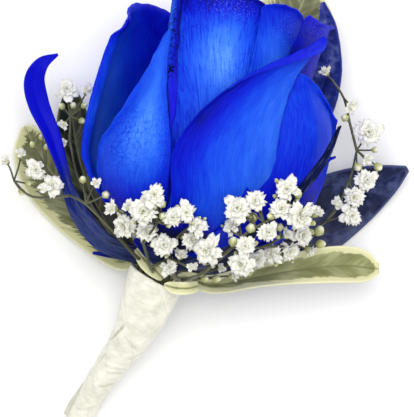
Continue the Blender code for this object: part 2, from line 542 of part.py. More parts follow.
sprays = {
    "gypsophila_middle_left": {
        "slot": (-1.2, 4.6), "onBloom": True,
        "stems": [[(-16.6, -30.4, 25), (-18.1, -24.7, 31), (-20.8, -19.6, 36)],
                  [(-18.1, -24.7, 31), (-14.6, -19.6, 40)],
                  [(-16.6, -30.4, 25), (-12.4, -28.0, 31), (-9.9, -22.9, 38)],
                  [(-12.4, -28.0, 31), (-7.2, -30.4, 31)]],
        "florets": [
            ("half", -25.3, -16.3, 34, 1.9), ("bud", -23.4, -17.7, 33, 1.0), ("half", -21.3, -16.1, 34, 1.6),
            ("open", -22.7, -20.6, 34, 2.5), ("open", -17.8, -17.2, 40, 3.1), ("open", -15.3, -13.3, 40, 2.4),
            ("bud", -13.5, -15.4, 40, 1.1), ("open", -17.4, -21.9, 36, 2.2), ("bud", -13.3, -18.2, 40, 1.1),
            ("open", -11.0, -18.6, 40, 2.0), ("open", -7.9, -17.4, 40, 2.2), ("open", -5.3, -20.6, 40, 2.0),
            ("open", -6.8, -23.9, 38, 2.0), ("open", -13.2, -25.1, 35, 2.4), ("half", -9.4, -27.5, 35, 1.7),
            ("open", -12.1, -30.3, 32, 1.9), ("half", -6.6, -30.3, 33, 1.2)]},
    "gypsophila_middle_right": {
        "slot": (3.4, 3.3), "onBloom": True,
        "stems": [[(-9.0, -33.6, 27.0), (-4.6, -31.8, 29), (-0.6, -28.4, 31), (2.8, -25.4, 34),
                   (6.2, -22.0, 40), (9.8, -19.9, 40),
                   (16.3, -16.6, 40)],
                  [(2.8, -25.4, 34), (9.9, -25.4, 34), (17.0, -21.6, 36)],
                  [(9.9, -25.4, 34), (19.1, -25.4, 29)]],
        "florets": [
            ("open", 15.3, -12.2, 44, 2.6), ("bud", 17.9, -13.3, 44, 1.0), ("open", 8.1, -14.7, 44, 2.2),
            ("open", 3.9, -16.4, 44, 2.7), ("bud", 7.6, -18.6, 44, 1.2), ("bud", 7.0, -21.0, 44, 1.3),
            ("open", 2.6, -20.6, 42, 2.0), ("bud", 3.0, -24.2, 40, 1.3), ("open", 5.6, -25.1, 38, 2.0),
            ("open", 14.0, -16.6, 42, 2.3), ("bud", 11.6, -18.2, 42, 1.0), ("open", 18.4, -18.3, 40, 3.0),
            ("open", 19.2, -22.7, 36, 2.4), ("half", 22.6, -17.4, 36, 1.8), ("bud", 23.6, -21.8, 30, 1.4),
            ("bud", 24.1, -25.0, 27, 1.2), ("half", 21.6, -26.6, 27, 1.7), ("bud", 13.8, -20.8, 40, 1.1),
            ("open", 11.0, -21.8, 40, 2.0), ("half", 15.6, -22.6, 38, 1.6), ("open", 16.4, -26.5, 34, 2.2),
            ("open", 12.2, -27.3, 34, 2.1), ("open", 4.8, -29.3, 34, 2.7), ("open", 8.9, -28.4, 34, 1.9),
            ("bud", 7.2, -31.2, 31, 1.1), ("half", 3.2, -32.5, 31, 1.5), ("open", -2.9, -26.2, 36, 3.1),
            ("bud", -3.7, -33.2, 31, 1.0), ("bud", -0.9, -33.2, 31, 1.1), ("half", 0.2, -30.6, 33, 1.2)]},
    "gypsophila_left": {
        "slot": (-4.2, 3.0), "onBloom": False,
        "stems": [[(-20.4, -27.6, 29.6), (-25.9, -21.5, 31.5), (-32.0, -15.4, 30.5), (-35.9, -13.4, 29)],
                  [(-35.9, -13.4, 29), (-45.4, -13.6, 21), (-50.1, -9.7, 18.5)],
                  [(-39.6, -13.8, 26), (-42.1, -6.2, 22)]],
        "florets": [
            ("open", -44.4, -7.2, 22, 2.3), ("open", -40.2, -10.9, 28, 2.4), ("half", -48.4, -3.2, 19, 1.5),
            ("half", -52.1, -4.9, 19, 1.5), ("bud", -45.4, -1.0, 21, 0.8), ("bud", -43.2, 0.8, 22, 0.8),
            ("bud", -42.0, -1.6, 22, 0.8), ("bud", -48.3, -12.4, 18, 0.9), ("bud", -46.6, -10.4, 19, 0.8),
            ("bud", -32.6, -9.6, 33, 1.0), ("half", -29.4, -10.4, 35.5, 1.3),
            ("bud", -27.0, -13.2, 37, 1.1)]},
    "gypsophila_top_left": {
        "slot": (-4.8, -1.1), "onBloom": False,
        "stems": [[(-22.4, -26.8, 20.2), (-28.6, -19.7, 16.8), (-34.4, -9.4, 16.4), (-36.6, 0.2, 17)],
                  [(-36.6, 0.2, 17), (-36.4, 6.0, 18)]],
        "florets": [
            ("open", -37.2, 12.4, 20, 2.4), ("half", -32.2, 12.2, 20, 1.6), ("bud", -35.6, 8.6, 20, 0.9),
            ("bud", -33.0, 8.6, 19, 0.9), ("bud", -38.4, 8.4, 19, 0.9), ("bud", -33.6, 4.9, 18.6, 0.9),
            ("half", -38.0, 4.1, 19, 1.2), ("half", -38.0, -0.4, 18.4, 1.1)]},
    "gypsophila_right": {
        "slot": (4.4, -0.7), "onBloom": False,
        "stems": [[(-5.4, -32.2, 17.2), (10.3, -27.6, 14.6), (25.8, -19.7, 15), (31.6, -9.5, 16),
                   (33.4, -2.2, 17)],
                  [(33.4, -2.2, 17), (31.8, 4.4, 16), (30.4, 10.6, 14.6), (27.6, 15.0, 14.2)]],
        "florets": [
            ("half", 26.0, 17.0, 14.6, 1.5), ("half", 32.2, 8.4, 18, 1.7), ("bud", 30.4, 5.6, 19, 1.1),
            ("open", 36.2, 2.0, 20, 2.8),
            ("bud", 37.6, -2.2, 20, 0.9), ("half", 35.6, -4.6, 20, 1.5), ("bud", 33.4, -6.4, 21.4, 1.2),
            ("bud", 38.4, -6.3, 20, 1.2), ("open", 35.6, -9.6, 21, 2.3), ("open", 32.4, -13.6, 21, 2.4),
            ("open", 32.0, -18.2, 20, 2.4), ("half", 28.6, -15.4, 19, 1.5)]},
}


def treeOf(thing):
    solid = bmesh.new()
    solid.from_mesh(thing.data)
    tree = BVHTree.FromBMesh(solid)
    solid.free()
    return tree


def heightUnder(trees, x, y, reach):
    """The highest point of the given pieces below a disc, or None."""
    found = []
    for step in range(17):
        away = reach * (0, 0.5, 1)[(step + 7) // 8]
        turn = step * math.tau / 8
        eye = Vector((x + away * math.cos(turn), y + away * math.sin(turn), 90)) * mm
        for tree in trees:
            hit = tree.ray_cast(eye, Vector((0, 0, -1)))[0]
            if hit:
                found.append(hit.z / mm)
    return max(found) if found else None


def lifted(point, trees, radius, step):
    """A point of a stalk, raised until it clears the pieces below it."""
    under = heightUnder(trees, point.x, point.y, radius + step)
    if under is not None:
        point.z = max(point.z, under + radius + neighbourGap)
    return point


def buildSpray(name, spray, bloomTree, trees, surface):
    draw = random.Random(seed + len(spray["florets"]))
    onBloom = spray["onBloom"]
    around = [bloomTree] + trees if onBloom else []
    mouth = [mouthSlot(*spray["slot"], 6), mouthSlot(*spray["slot"], -2.6)]
    pieces = []
    joints = []
    for number, stem in enumerate(spray["stems"]):
        route = [Vector(p) for p in stem]
        if onBloom:
            route = [lifted(p, around, sprayStem, stalkReach) for p in route]
        if number == 0:
            route = mouth + route
        joints += route[2 if number == 0 else 0:]
        if onBloom:
            length = sum((b - a).length for a, b in zip(route, route[1:]))
            count = round(length / stalkStep)
            path = [smoothRow(route, i / count) for i in range(count + 1)]
            free = math.ceil(freeStalk / stalkStep) if number == 0 else 0
            path = path[:free] + [lifted(p, around, sprayStem, stalkReach) for p in path[free:]]
            joints += path[4:] if number == 0 else path
        else:
            count = round(1.5 * (len(route) - 1))
            path = [smoothRow(route, i / count) for i in range(count + 1)]
        pieces.append(tube("stem", path, [sprayStem * (1 - 0.05 * number)] * len(path)))
    for number, (kind, x, y, z, size) in enumerate(spray["florets"]):
        rings, sides, flute = kinds[kind]
        if onBloom:
            reach = size * floretReach
            under = heightUnder([bloomTree], x, y, reach)
            z = under + size * floretSeat + neighbourGap if under is not None else z
            under = heightUnder(trees, x, y, reach)
            z = max(z, under + size * floretSeat + neighbourGap) if under is not None else z
        centre = Vector((x, y, z))
        joint = min(joints, key=lambda j: (j - centre).length + (3 if j.z > z else 0))
        outward = (centre - joint).normalized()
        wander = Vector((draw.uniform(-1, 1), draw.uniform(-1, 1), draw.uniform(-0.2, 1))) * 0.3
        lean = {"open": 0.5, "half": 1.3, "bud": 1.8}[kind]
        axis = (Vector((0, 0, 1)) + outward * lean + wander).normalized()
        shape = [(h * size, r * size) for h, r in rings]
        pieces.append(turned(kind, centre, axis, shape, sides, flute, draw.uniform(0, math.tau)))
        foot = centre + axis * size * 0.1
        bend = centre - axis * ((centre - joint).length * 0.4 + size * 0.4)
        route = [joint, joint * 0.3 + bend * 0.45 + centre * 0.25, foot]
        if onBloom:
            count = max(2, round((centre - joint).length / pedicelStep))
            path = [joint] + [lifted(smoothRow(route, i / count), around, pedicel, 0.4)
                              for i in range(1, count)] + [foot]
        else:
            path = route
        pieces.append(tube("pedicel", path, [pedicel * (1 + 0.013 * number)] * len(path)))
    return fused(name, pieces, surface)


def build():
    clearScene()
    blue = material("dyed_petal", "1f49e0", 0.55)
    navy = material("dyed_leaf", "232c57", 0.5)
    cream = material("variegated_leaf", "8d8f62", 0.5)
    olive = material("dark_leaf", "3a3d22", 0.5)
    green = material("stem_and_sepal", "1a2fa0", 0.6)
    white = material("floral_tape", "eceada", 0.8)
    blossom = material("gypsophila", "eeeee2", 0.7)
    bloom = buildBloom(blue)
    stem = buildStem(green)
    tape = buildTape(white)
    leafSurfaces = {"leaf_right_dyed": navy, "leaf_top_dyed": navy, "leaf_inner_left": olive}
    made = {}
    for name, leaf in leaves.items():
        made[name] = buildLeaf(name, leaf, leafSurfaces.get(name, cream))
    bloomTree = treeOf(bloom)
    trees = [treeOf(thing) for thing in (stem, made["leaf_low_right"])]
    for name, spray in sprays.items():
        trees.append(treeOf(buildSpray(name, spray, bloomTree, trees, blossom)))


if __name__ == "__main__":
    build()
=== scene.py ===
# A dyed rose corsage lying on its back: petals, sepals, leaves, baby's breath and floral tape,
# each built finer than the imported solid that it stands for, and a pale table under soft light.
import math
import random

import bpy
from mathutils import Matrix, Vector, noise
from mathutils.bvhtree import BVHTree


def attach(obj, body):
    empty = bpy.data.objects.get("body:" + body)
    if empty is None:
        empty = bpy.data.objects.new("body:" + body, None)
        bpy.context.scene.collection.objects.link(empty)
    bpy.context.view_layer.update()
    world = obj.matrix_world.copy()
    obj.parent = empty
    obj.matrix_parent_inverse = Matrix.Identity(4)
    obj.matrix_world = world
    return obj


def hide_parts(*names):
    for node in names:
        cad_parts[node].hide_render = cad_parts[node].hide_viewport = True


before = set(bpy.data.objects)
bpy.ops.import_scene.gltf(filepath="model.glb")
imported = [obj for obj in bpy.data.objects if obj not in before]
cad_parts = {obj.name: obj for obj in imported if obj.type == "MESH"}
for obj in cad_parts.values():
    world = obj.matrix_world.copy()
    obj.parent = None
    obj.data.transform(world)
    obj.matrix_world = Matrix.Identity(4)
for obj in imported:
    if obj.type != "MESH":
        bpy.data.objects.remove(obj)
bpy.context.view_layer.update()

mm = 0.001
print("stage: frame loaded,", len(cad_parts), "nodes")


def linear(colour):  # sRGB hex to the renderer's linear light
    channels = [int(colour[i:i + 2], 16) / 255 for i in (0, 2, 4)]
    return (*[c / 12.92 if c <= 0.04045 else ((c + 0.055) / 1.055) ** 2.4 for c in channels], 1)


def addNode(tree, kind, settings=None, inputs=None):
    node = tree.nodes.new(kind)
    for name, value in (settings or {}).items():
        setattr(node, name, value)
    for name, value in (inputs or {}).items():
        if isinstance(value, bpy.types.NodeSocket):
            tree.links.new(value, node.inputs[name])
        else:
            node.inputs[name].default_value = value
    return node


def setRamp(ramp, stops):
    points = ramp.color_ramp.elements
    while len(points) < len(stops):
        points.new(0.5)
    for point, (place, colour) in zip(points, stops):
        point.position = place
        point.color = linear(colour)


def startMaterial(name, settings):
    made = bpy.data.materials.new(name)
    made.use_nodes = True
    shader = made.node_tree.nodes["Principled BSDF"]
    for socket, value in settings.items():
        shader.inputs[socket].default_value = value
    return made, made.node_tree, shader


def smoothRow(points, t):  # the point at t, 0 to 1, on the smooth curve through evenly spaced points
    points = [Vector(p) for p in points]
    last = len(points) - 1
    spot = min(max(t, 0), 1) * last
    i = min(int(spot), last - 1)
    f = spot - i
    before = points[i - 1] if i > 0 else points[0] * 2 - points[1]
    after = points[i + 2] if i + 2 <= last else points[last] * 2 - points[last - 1]
    a, b = points[i], points[i + 1]
    return 0.5 * (2 * a + (b - before) * f + (2 * before - 5 * a + 4 * b - after) * f * f
                  + (3 * a - before - 3 * b + after) * f ** 3)


def smoothTable(table, x):  # a smooth value at x between the pairs of a table
    x = min(max(x, table[0][0]), table[-1][0])
    i = 0
    while i < len(table) - 2 and x > table[i + 1][0]:
        i += 1
    slopes = []
    for j in (i, i + 1):
        low, high = table[max(j - 1, 0)], table[min(j + 1, len(table) - 1)]
        slopes.append((high[1] - low[1]) / (high[0] - low[0]))
    (x0, y0), (x1, y1) = table[i], table[i + 1]
    wide = x1 - x0
    f = (x - x0) / wide
    return ((2 * f ** 3 - 3 * f * f + 1) * y0 + (f ** 3 - 2 * f * f + f) * wide * slopes[0]
            + (3 * f * f - 2 * f ** 3) * y1 + (f ** 3 - f * f) * wide * slopes[1])


def spots(places, s, t):  # soft spots of (s, t, width, height, amount) summed at one place of a sheet
    return sum(amount * math.exp(-((s - a) / wide) ** 2 - ((t - b) / high) ** 2)
               for a, b, wide, high, amount in places)


def crumple(place, size, seed=0.0):  # a smooth wander, -1 to 1, over a given size in millimetres
    return noise.noise(Vector((place[0] / size, place[1] / size, place[2] / size + seed)))


def onlySelect(thing):
    bpy.ops.object.select_all(action="DESELECT")
    thing.select_set(True)
    bpy.context.view_layer.objects.active = thing


def applyAll(thing):
    onlySelect(thing)
    for modifier in list(thing.modifiers):
        bpy.ops.object.modifier_apply(modifier=modifier.name)


def addSheet(name, place, across, along, thickness, paint=None, offset=0.0, closed=False, size=None):
    # a grid in s, -1 to 1, and t, 0 to 1, laid by place(s, t), painted by attributes, then given its thickness
    bpy.ops.object.select_all(action="DESELECT")
    bpy.ops.mesh.primitive_grid_add(x_subdivisions=across, y_subdivisions=along, size=2)
    sheet = bpy.context.object
    sheet.name = name
    mesh = sheet.data
    spread = [(corner.co.x, (corner.co.y + 1) / 2) for corner in mesh.vertices]
    layers = {}
    for corner, (s, t) in zip(mesh.vertices, spread):
        corner.co = Vector(place(s, t)) * mm
        for layer, value in (paint(s, t) if paint else {}).items():
            layers.setdefault(layer, []).append(value)
    for layer, values in layers.items():
        mesh.attributes.new(layer, "FLOAT", "POINT").data.foreach_set("value", values)
    if size:  # its width and height in millimetres and how far its veins fan out, so patterns keep real scale
        for corner in mesh.uv_layers[0].data:
            s, t = corner.uv[0] - 0.5, corner.uv[1]
            corner.uv = (s * size[0] * (1 - size[2] * (t - 0.5)), t * size[1])
    if closed:
        bpy.ops.object.mode_set(mode="EDIT")
        bpy.ops.mesh.select_all(action="SELECT")
        bpy.ops.mesh.remove_doubles(threshold=0.00001)
        bpy.ops.object.mode_set(mode="OBJECT")
    wall = sheet.modifiers.new("Thickness", "SOLIDIFY")
    wall.thickness = thickness * mm
    wall.offset = offset
    wall.use_even_offset = False
    applyAll(sheet)
    bpy.ops.object.shade_smooth()
    return sheet


def joined(name, things, surfaces=()):
    bpy.ops.object.select_all(action="DESELECT")
    for thing in things:
        thing.select_set(True)
    bpy.context.view_layer.objects.active = things[0]
    if len(things) > 1:
        bpy.ops.object.join()
    made = bpy.context.object
    made.name = name
    made.data.name = name
    for surface in surfaces:
        made.data.materials.append(surface)
    return made


def finishPiece(piece, slot, *nodes):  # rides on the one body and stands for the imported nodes
    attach(piece, "root")
    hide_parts(*nodes)
    return piece


# Rose petal, dyed through its veins: a velvety skin, deep at the rims and pale where the dye is thin,
# with fine veins that fan up from the base. Its tone layer also carries painted light and painted shade.
petalLook = {
    "tones": [(0.0, "01083f"), (0.12, "020f78"), (0.25, "050fbe"), (0.38, "0a2cd0"), (0.5, "1448dc"),
              (0.62, "2560ea"), (0.75, "3a77f3"), (0.88, "5896fb"), (1.0, "79b4ff")],
    # the third of these colours is a painted highlight: pale blue glints in place of glossy sparkle
    "rolled": "2417e0", "fleck": "020628", "paintedGlint": "9db4ff",
    "veinSpacing": 0.6, "veinLength": 7.0, "fineSpacing": 0.28, "crackle": (2.6, 1.15),  # mm
}


def petalMaterial(name, look):
    made, tree, shader = startMaterial(name, {
        "IOR": 1.42, "Specular IOR Level": 0.07, "Subsurface Weight": 0.4, "Subsurface Scale": 0.0005,
        "Subsurface Radius": (0.3, 0.6, 1.4)})  # light that comes through the thin petal is bluer still
    uv = addNode(tree, "ShaderNodeUVMap", {"uv_map": "UVMap"})
    layer = {n: addNode(tree, "ShaderNodeAttribute", {"attribute_name": n}).outputs["Fac"]
             for n in ("tone", "veins", "crackle", "rolled", "fleck", "paintedGlint")}

    stretched = addNode(tree, "ShaderNodeMapping", None, {
        "Vector": uv.outputs["UV"], "Scale": (1 / look["veinSpacing"], 1 / look["veinLength"], 1)})
    field = addNode(tree, "ShaderNodeTexNoise", None, {
        "Vector": stretched.outputs["Vector"], "Scale": 0.55, "Detail": 3.0, "Roughness": 0.6, "Distortion": 0.25})
    centred = addNode(tree, "ShaderNodeMath", {"operation": "SUBTRACT"}, {0: field.outputs["Fac"], 1: 0.5})
    distance = addNode(tree, "ShaderNodeMath", {"operation": "ABSOLUTE"}, {0: centred.outputs[0]})
    veins = addNode(tree, "ShaderNodeMapRange", {"interpolation_type": "SMOOTHSTEP"}, {  # its thin contour lines
        "Value": distance.outputs[0], "From Min": 0.0, "From Max": 0.04, "To Min": 1.0, "To Max": 0.0})
    fine = addNode(tree, "ShaderNodeMapping", None, {
        "Vector": uv.outputs["UV"], "Scale": (1 / look["fineSpacing"], 0.22, 1)})
    threads = addNode(tree, "ShaderNodeTexNoise", None, {
        "Vector": fine.outputs["Vector"], "Scale": 1.0, "Detail": 2.0, "Roughness": 0.5, "Distortion": 0.5})
    bent = addNode(tree, "ShaderNodeTexNoise", None, {
        "Vector": uv.outputs["UV"], "Scale": 0.55, "Detail": 3.0})
    warped = addNode(tree, "ShaderNodeMixRGB", {"blend_type": "LINEAR_LIGHT"}, {
        "Fac": 1.0, "Color1": uv.outputs["UV"], "Color2": bent.outputs["Color"]})
    tall = addNode(tree, "ShaderNodeMapping", None, {
        "Vector": warped.outputs["Color"], "Scale": (1 / look["crackle"][0], 1 / look["crackle"][1], 1)})
    cells = addNode(tree, "ShaderNodeTexVoronoi", {"feature": "DISTANCE_TO_EDGE"}, {
        "Vector": tall.outputs["Vector"], "Scale": 1.0, "Randomness": 1.0})
    cracks = addNode(tree, "ShaderNodeMapRange", {"interpolation_type": "SMOOTHSTEP"}, {
        "Value": cells.outputs["Distance"], "From Min": 0.0, "From Max": 0.07, "To Min": 1.0, "To Max": 0.0})
    cloud = addNode(tree, "ShaderNodeTexNoise", None, {
        "Vector": uv.outputs["UV"], "Scale": 0.16, "Detail": 3.0, "Roughness": 0.55})
    grain = addNode(tree, "ShaderNodeTexNoise", None, {
        "Vector": uv.outputs["UV"], "Scale": 2.2, "Detail": 2.0})
    veinDepth = addNode(tree, "ShaderNodeMath", {"operation": "MULTIPLY"}, {
        0: veins.outputs[0], 1: layer["veins"]})
    crackDepth = addNode(tree, "ShaderNodeMath", {"operation": "MULTIPLY"}, {
        0: cracks.outputs[0], 1: layer["crackle"]})
    tone = layer["tone"]
    for value, factor in ((threads.outputs["Fac"], 0.28), (cloud.outputs["Fac"], 0.22), (grain.outputs["Fac"], 0.1),
                          (veinDepth.outputs[0], -1.0), (crackDepth.outputs[0], -1.0)):
        tone = addNode(tree, "ShaderNodeMath", {"operation": "MULTIPLY_ADD"}, {0: value, 1: factor, 2: tone}).outputs[0]
    level = addNode(tree, "ShaderNodeMath", {"operation": "SUBTRACT"}, {0: tone, 1: 0.3})  # the noises' own mean
    ramp = addNode(tree, "ShaderNodeValToRGB", None, {"Fac": level.outputs[0]})
    setRamp(ramp, look["tones"])
    tinted = addNode(tree, "ShaderNodeMixRGB", None, {
        "Fac": layer["rolled"], "Color1": ramp.outputs["Color"], "Color2": linear(look["rolled"])})
    dots = addNode(tree, "ShaderNodeTexNoise", None, {
        "Vector": uv.outputs["UV"], "Scale": 1.5, "Detail": 3.0, "Roughness": 0.7})
    dotted = addNode(tree, "ShaderNodeMapRange", {"interpolation_type": "SMOOTHSTEP"}, {
        "Value": dots.outputs["Fac"], "From Min": 0.44, "From Max": 0.58, "To Min": 0.0, "To Max": 1.0})
    fleckDepth = addNode(tree, "ShaderNodeMath", {"operation": "MULTIPLY"}, {
        0: dotted.outputs[0], 1: layer["fleck"]})
    final = addNode(tree, "ShaderNodeMixRGB", None, {
        "Fac": fleckDepth.outputs[0], "Color1": tinted.outputs["Color"], "Color2": linear(look["fleck"])})
    # Painted highlight: pale blue glints mixed into the colour where a petal's highlight layer is set
    glintNoise = addNode(tree, "ShaderNodeTexNoise", None, {
        "Vector": uv.outputs["UV"], "Scale": 2.6, "Detail": 3.0, "Roughness": 0.75})
    bright = addNode(tree, "ShaderNodeMapRange", {"interpolation_type": "SMOOTHSTEP"}, {
        "Value": glintNoise.outputs["Fac"], "From Min": 0.54, "From Max": 0.68, "To Min": 0.0, "To Max": 1.0})
    paintedGlintDepth = addNode(tree, "ShaderNodeMath", {"operation": "MULTIPLY"}, {
        0: bright.outputs[0], 1: layer["paintedGlint"]})
    withPaintedGlint = addNode(tree, "ShaderNodeMixRGB", None, {
        "Fac": paintedGlintDepth.outputs[0], "Color1": final.outputs["Color"], "Color2": linear(look["paintedGlint"])})
    tree.links.new(withPaintedGlint.outputs["Color"], shader.inputs["Base Color"])
    rough = addNode(tree, "ShaderNodeMapRange", None, {
        "Value": grain.outputs["Fac"], "From Min": 0.3, "From Max": 0.7, "To Min": 0.4, "To Max": 0.65})
    tree.links.new(rough.outputs[0], shader.inputs["Roughness"])
    relief = grain.outputs["Fac"]
    for value, factor in ((threads.outputs["Fac"], 0.8), (veins.outputs[0], -0.5)):
        relief = addNode(tree, "ShaderNodeMath", {"operation": "MULTIPLY_ADD"},
                         {0: value, 1: factor, 2: relief}).outputs[0]
    bump = addNode(tree, "ShaderNodeBump", None, {"Strength": 0.35, "Distance": 0.00012, "Height": relief})
    tree.links.new(bump.outputs["Normal"], shader.inputs["Normal"])
    return made


# The bloom. Azimuth 0 faces up, away from the table, and 90 faces right; heights run from its root.
bloomRoot = Vector((-11.6, -26.0, 24.5))
bloomTop = Vector((1.4, 35.7, 30.0))
bloomUp = (bloomTop - bloomRoot).normalized()
bloomFront = (Vector((0, 0, 1)) - bloomUp * bloomUp.z).normalized()
bloomRight = bloomUp.cross(bloomFront)
bloomBuild = {"thickness": 0.34, "backReach": 24.6, "shownGrid": (56, 60), "innerGrid": (26, 26),
              "rimWave": 0.32, "rimWaveSize": 3.4, "skinWave": 0.12, "skinWaveSize": 7.0}


def inBloom(azimuth, radius, height):
    turn = math.radians(azimuth)
    return (bloomRoot + bloomRight * radius * math.sin(turn) + bloomFront * radius * math.cos(turn)
            + bloomUp * height)


def petalEdges(petal, t):
    return (smoothRow([(a, h, 0) for a, h in petal["left"]], t),
            smoothRow([(a, h, 0) for a, h in petal["right"]], t))


def petalPlace(petal, s, t):  # between its two edges, bellied by its radius table, its rims rolled outward
    left, right = petalEdges(petal, t)
    mix = (s + 1) / 2
    azimuth = left.x * (1 - mix) + right.x * mix
    height = left.y * (1 - mix) + right.y * mix
    height += petal["crown"] * (1 - s * s) * t ** 3
    radius = smoothTable(petal["radius"], height) + petal.get("cup", 0) * s * s * t
    under = min(max((-s - 0.25) / 0.6, 0), 1)
    radius -= petal.get("tuck", 0) * under * under * (3 - 2 * under)  # its left part goes under the next petal
    halfWidth = radius * math.radians(right.x - left.x) / 2
    for side, rollWidth, rollAngle in petal["rolls"]:
        if side == "top":
            inside = (1 - t) * max(left.y, right.y)
        else:
            inside = (1 - s if side == "right" else 1 + s) * halfWidth
            rollWidth = rollWidth * min(1, t * 2.2, (1.03 - t) * 7)
        if rollWidth > 0.05 and inside < rollWidth:
            bend = rollWidth / math.radians(rollAngle)
            past = rollWidth - inside
            out = bend * (1 - math.cos(past / bend))
            back = past - bend * math.sin(past / bend)
            radius += out
            if side == "top":
                height -= back
            else:
                azimuth -= math.degrees(back / max(radius, 3)) * (1 if side == "right" else -1)
    radius += petal.get("ripple", 0) * t * t * math.sin(azimuth / 9 + petal.get("phase", 0))
    rim = min((1 - t) * max(left.y, right.y), (1 - abs(s)) * halfWidth)
    place = inBloom(azimuth, radius, height)
    fading = math.exp(-rim / 2.6) * min(1, t * 3)
    wander = bloomBuild["rimWave"] * fading * crumple(place, bloomBuild["rimWaveSize"], petal["seed"])
    wander += bloomBuild["skinWave"] * min(1, t * 3) * crumple(place, bloomBuild["skinWaveSize"], petal["seed"])
    return inBloom(azimuth, radius + wander, height + fading * 0.35 * crumple(place, 2.6, petal["seed"] + 5))


def petalPaint(petal, s, t):
    paint = petal["paint"]
    left, right = petalEdges(petal, t)
    halfWidth = 24 * math.radians(right.x - left.x) / 2
    inside = {"top": (1 - t) * max(left.y, right.y), "left": (1 + s) * halfWidth, "right": (1 - s) * halfWidth}
    tone = paint["tone"] + spots(paint.get("spots", ()), s, t)
    rolled = 0.0
    for side, wide, amount, purple in paint.get("rims", ()):
        near = math.exp(-(max(inside[side], 0) / wide) ** 2)
        tone += amount * near
        rolled = max(rolled, purple * near)
    return {"tone": tone, "veins": paint.get("veins", 0.1), "rolled": rolled,
            **{layer: spots(paint.get(layer, ()), s, t) for layer in ("crackle", "fleck", "paintedGlint")}}


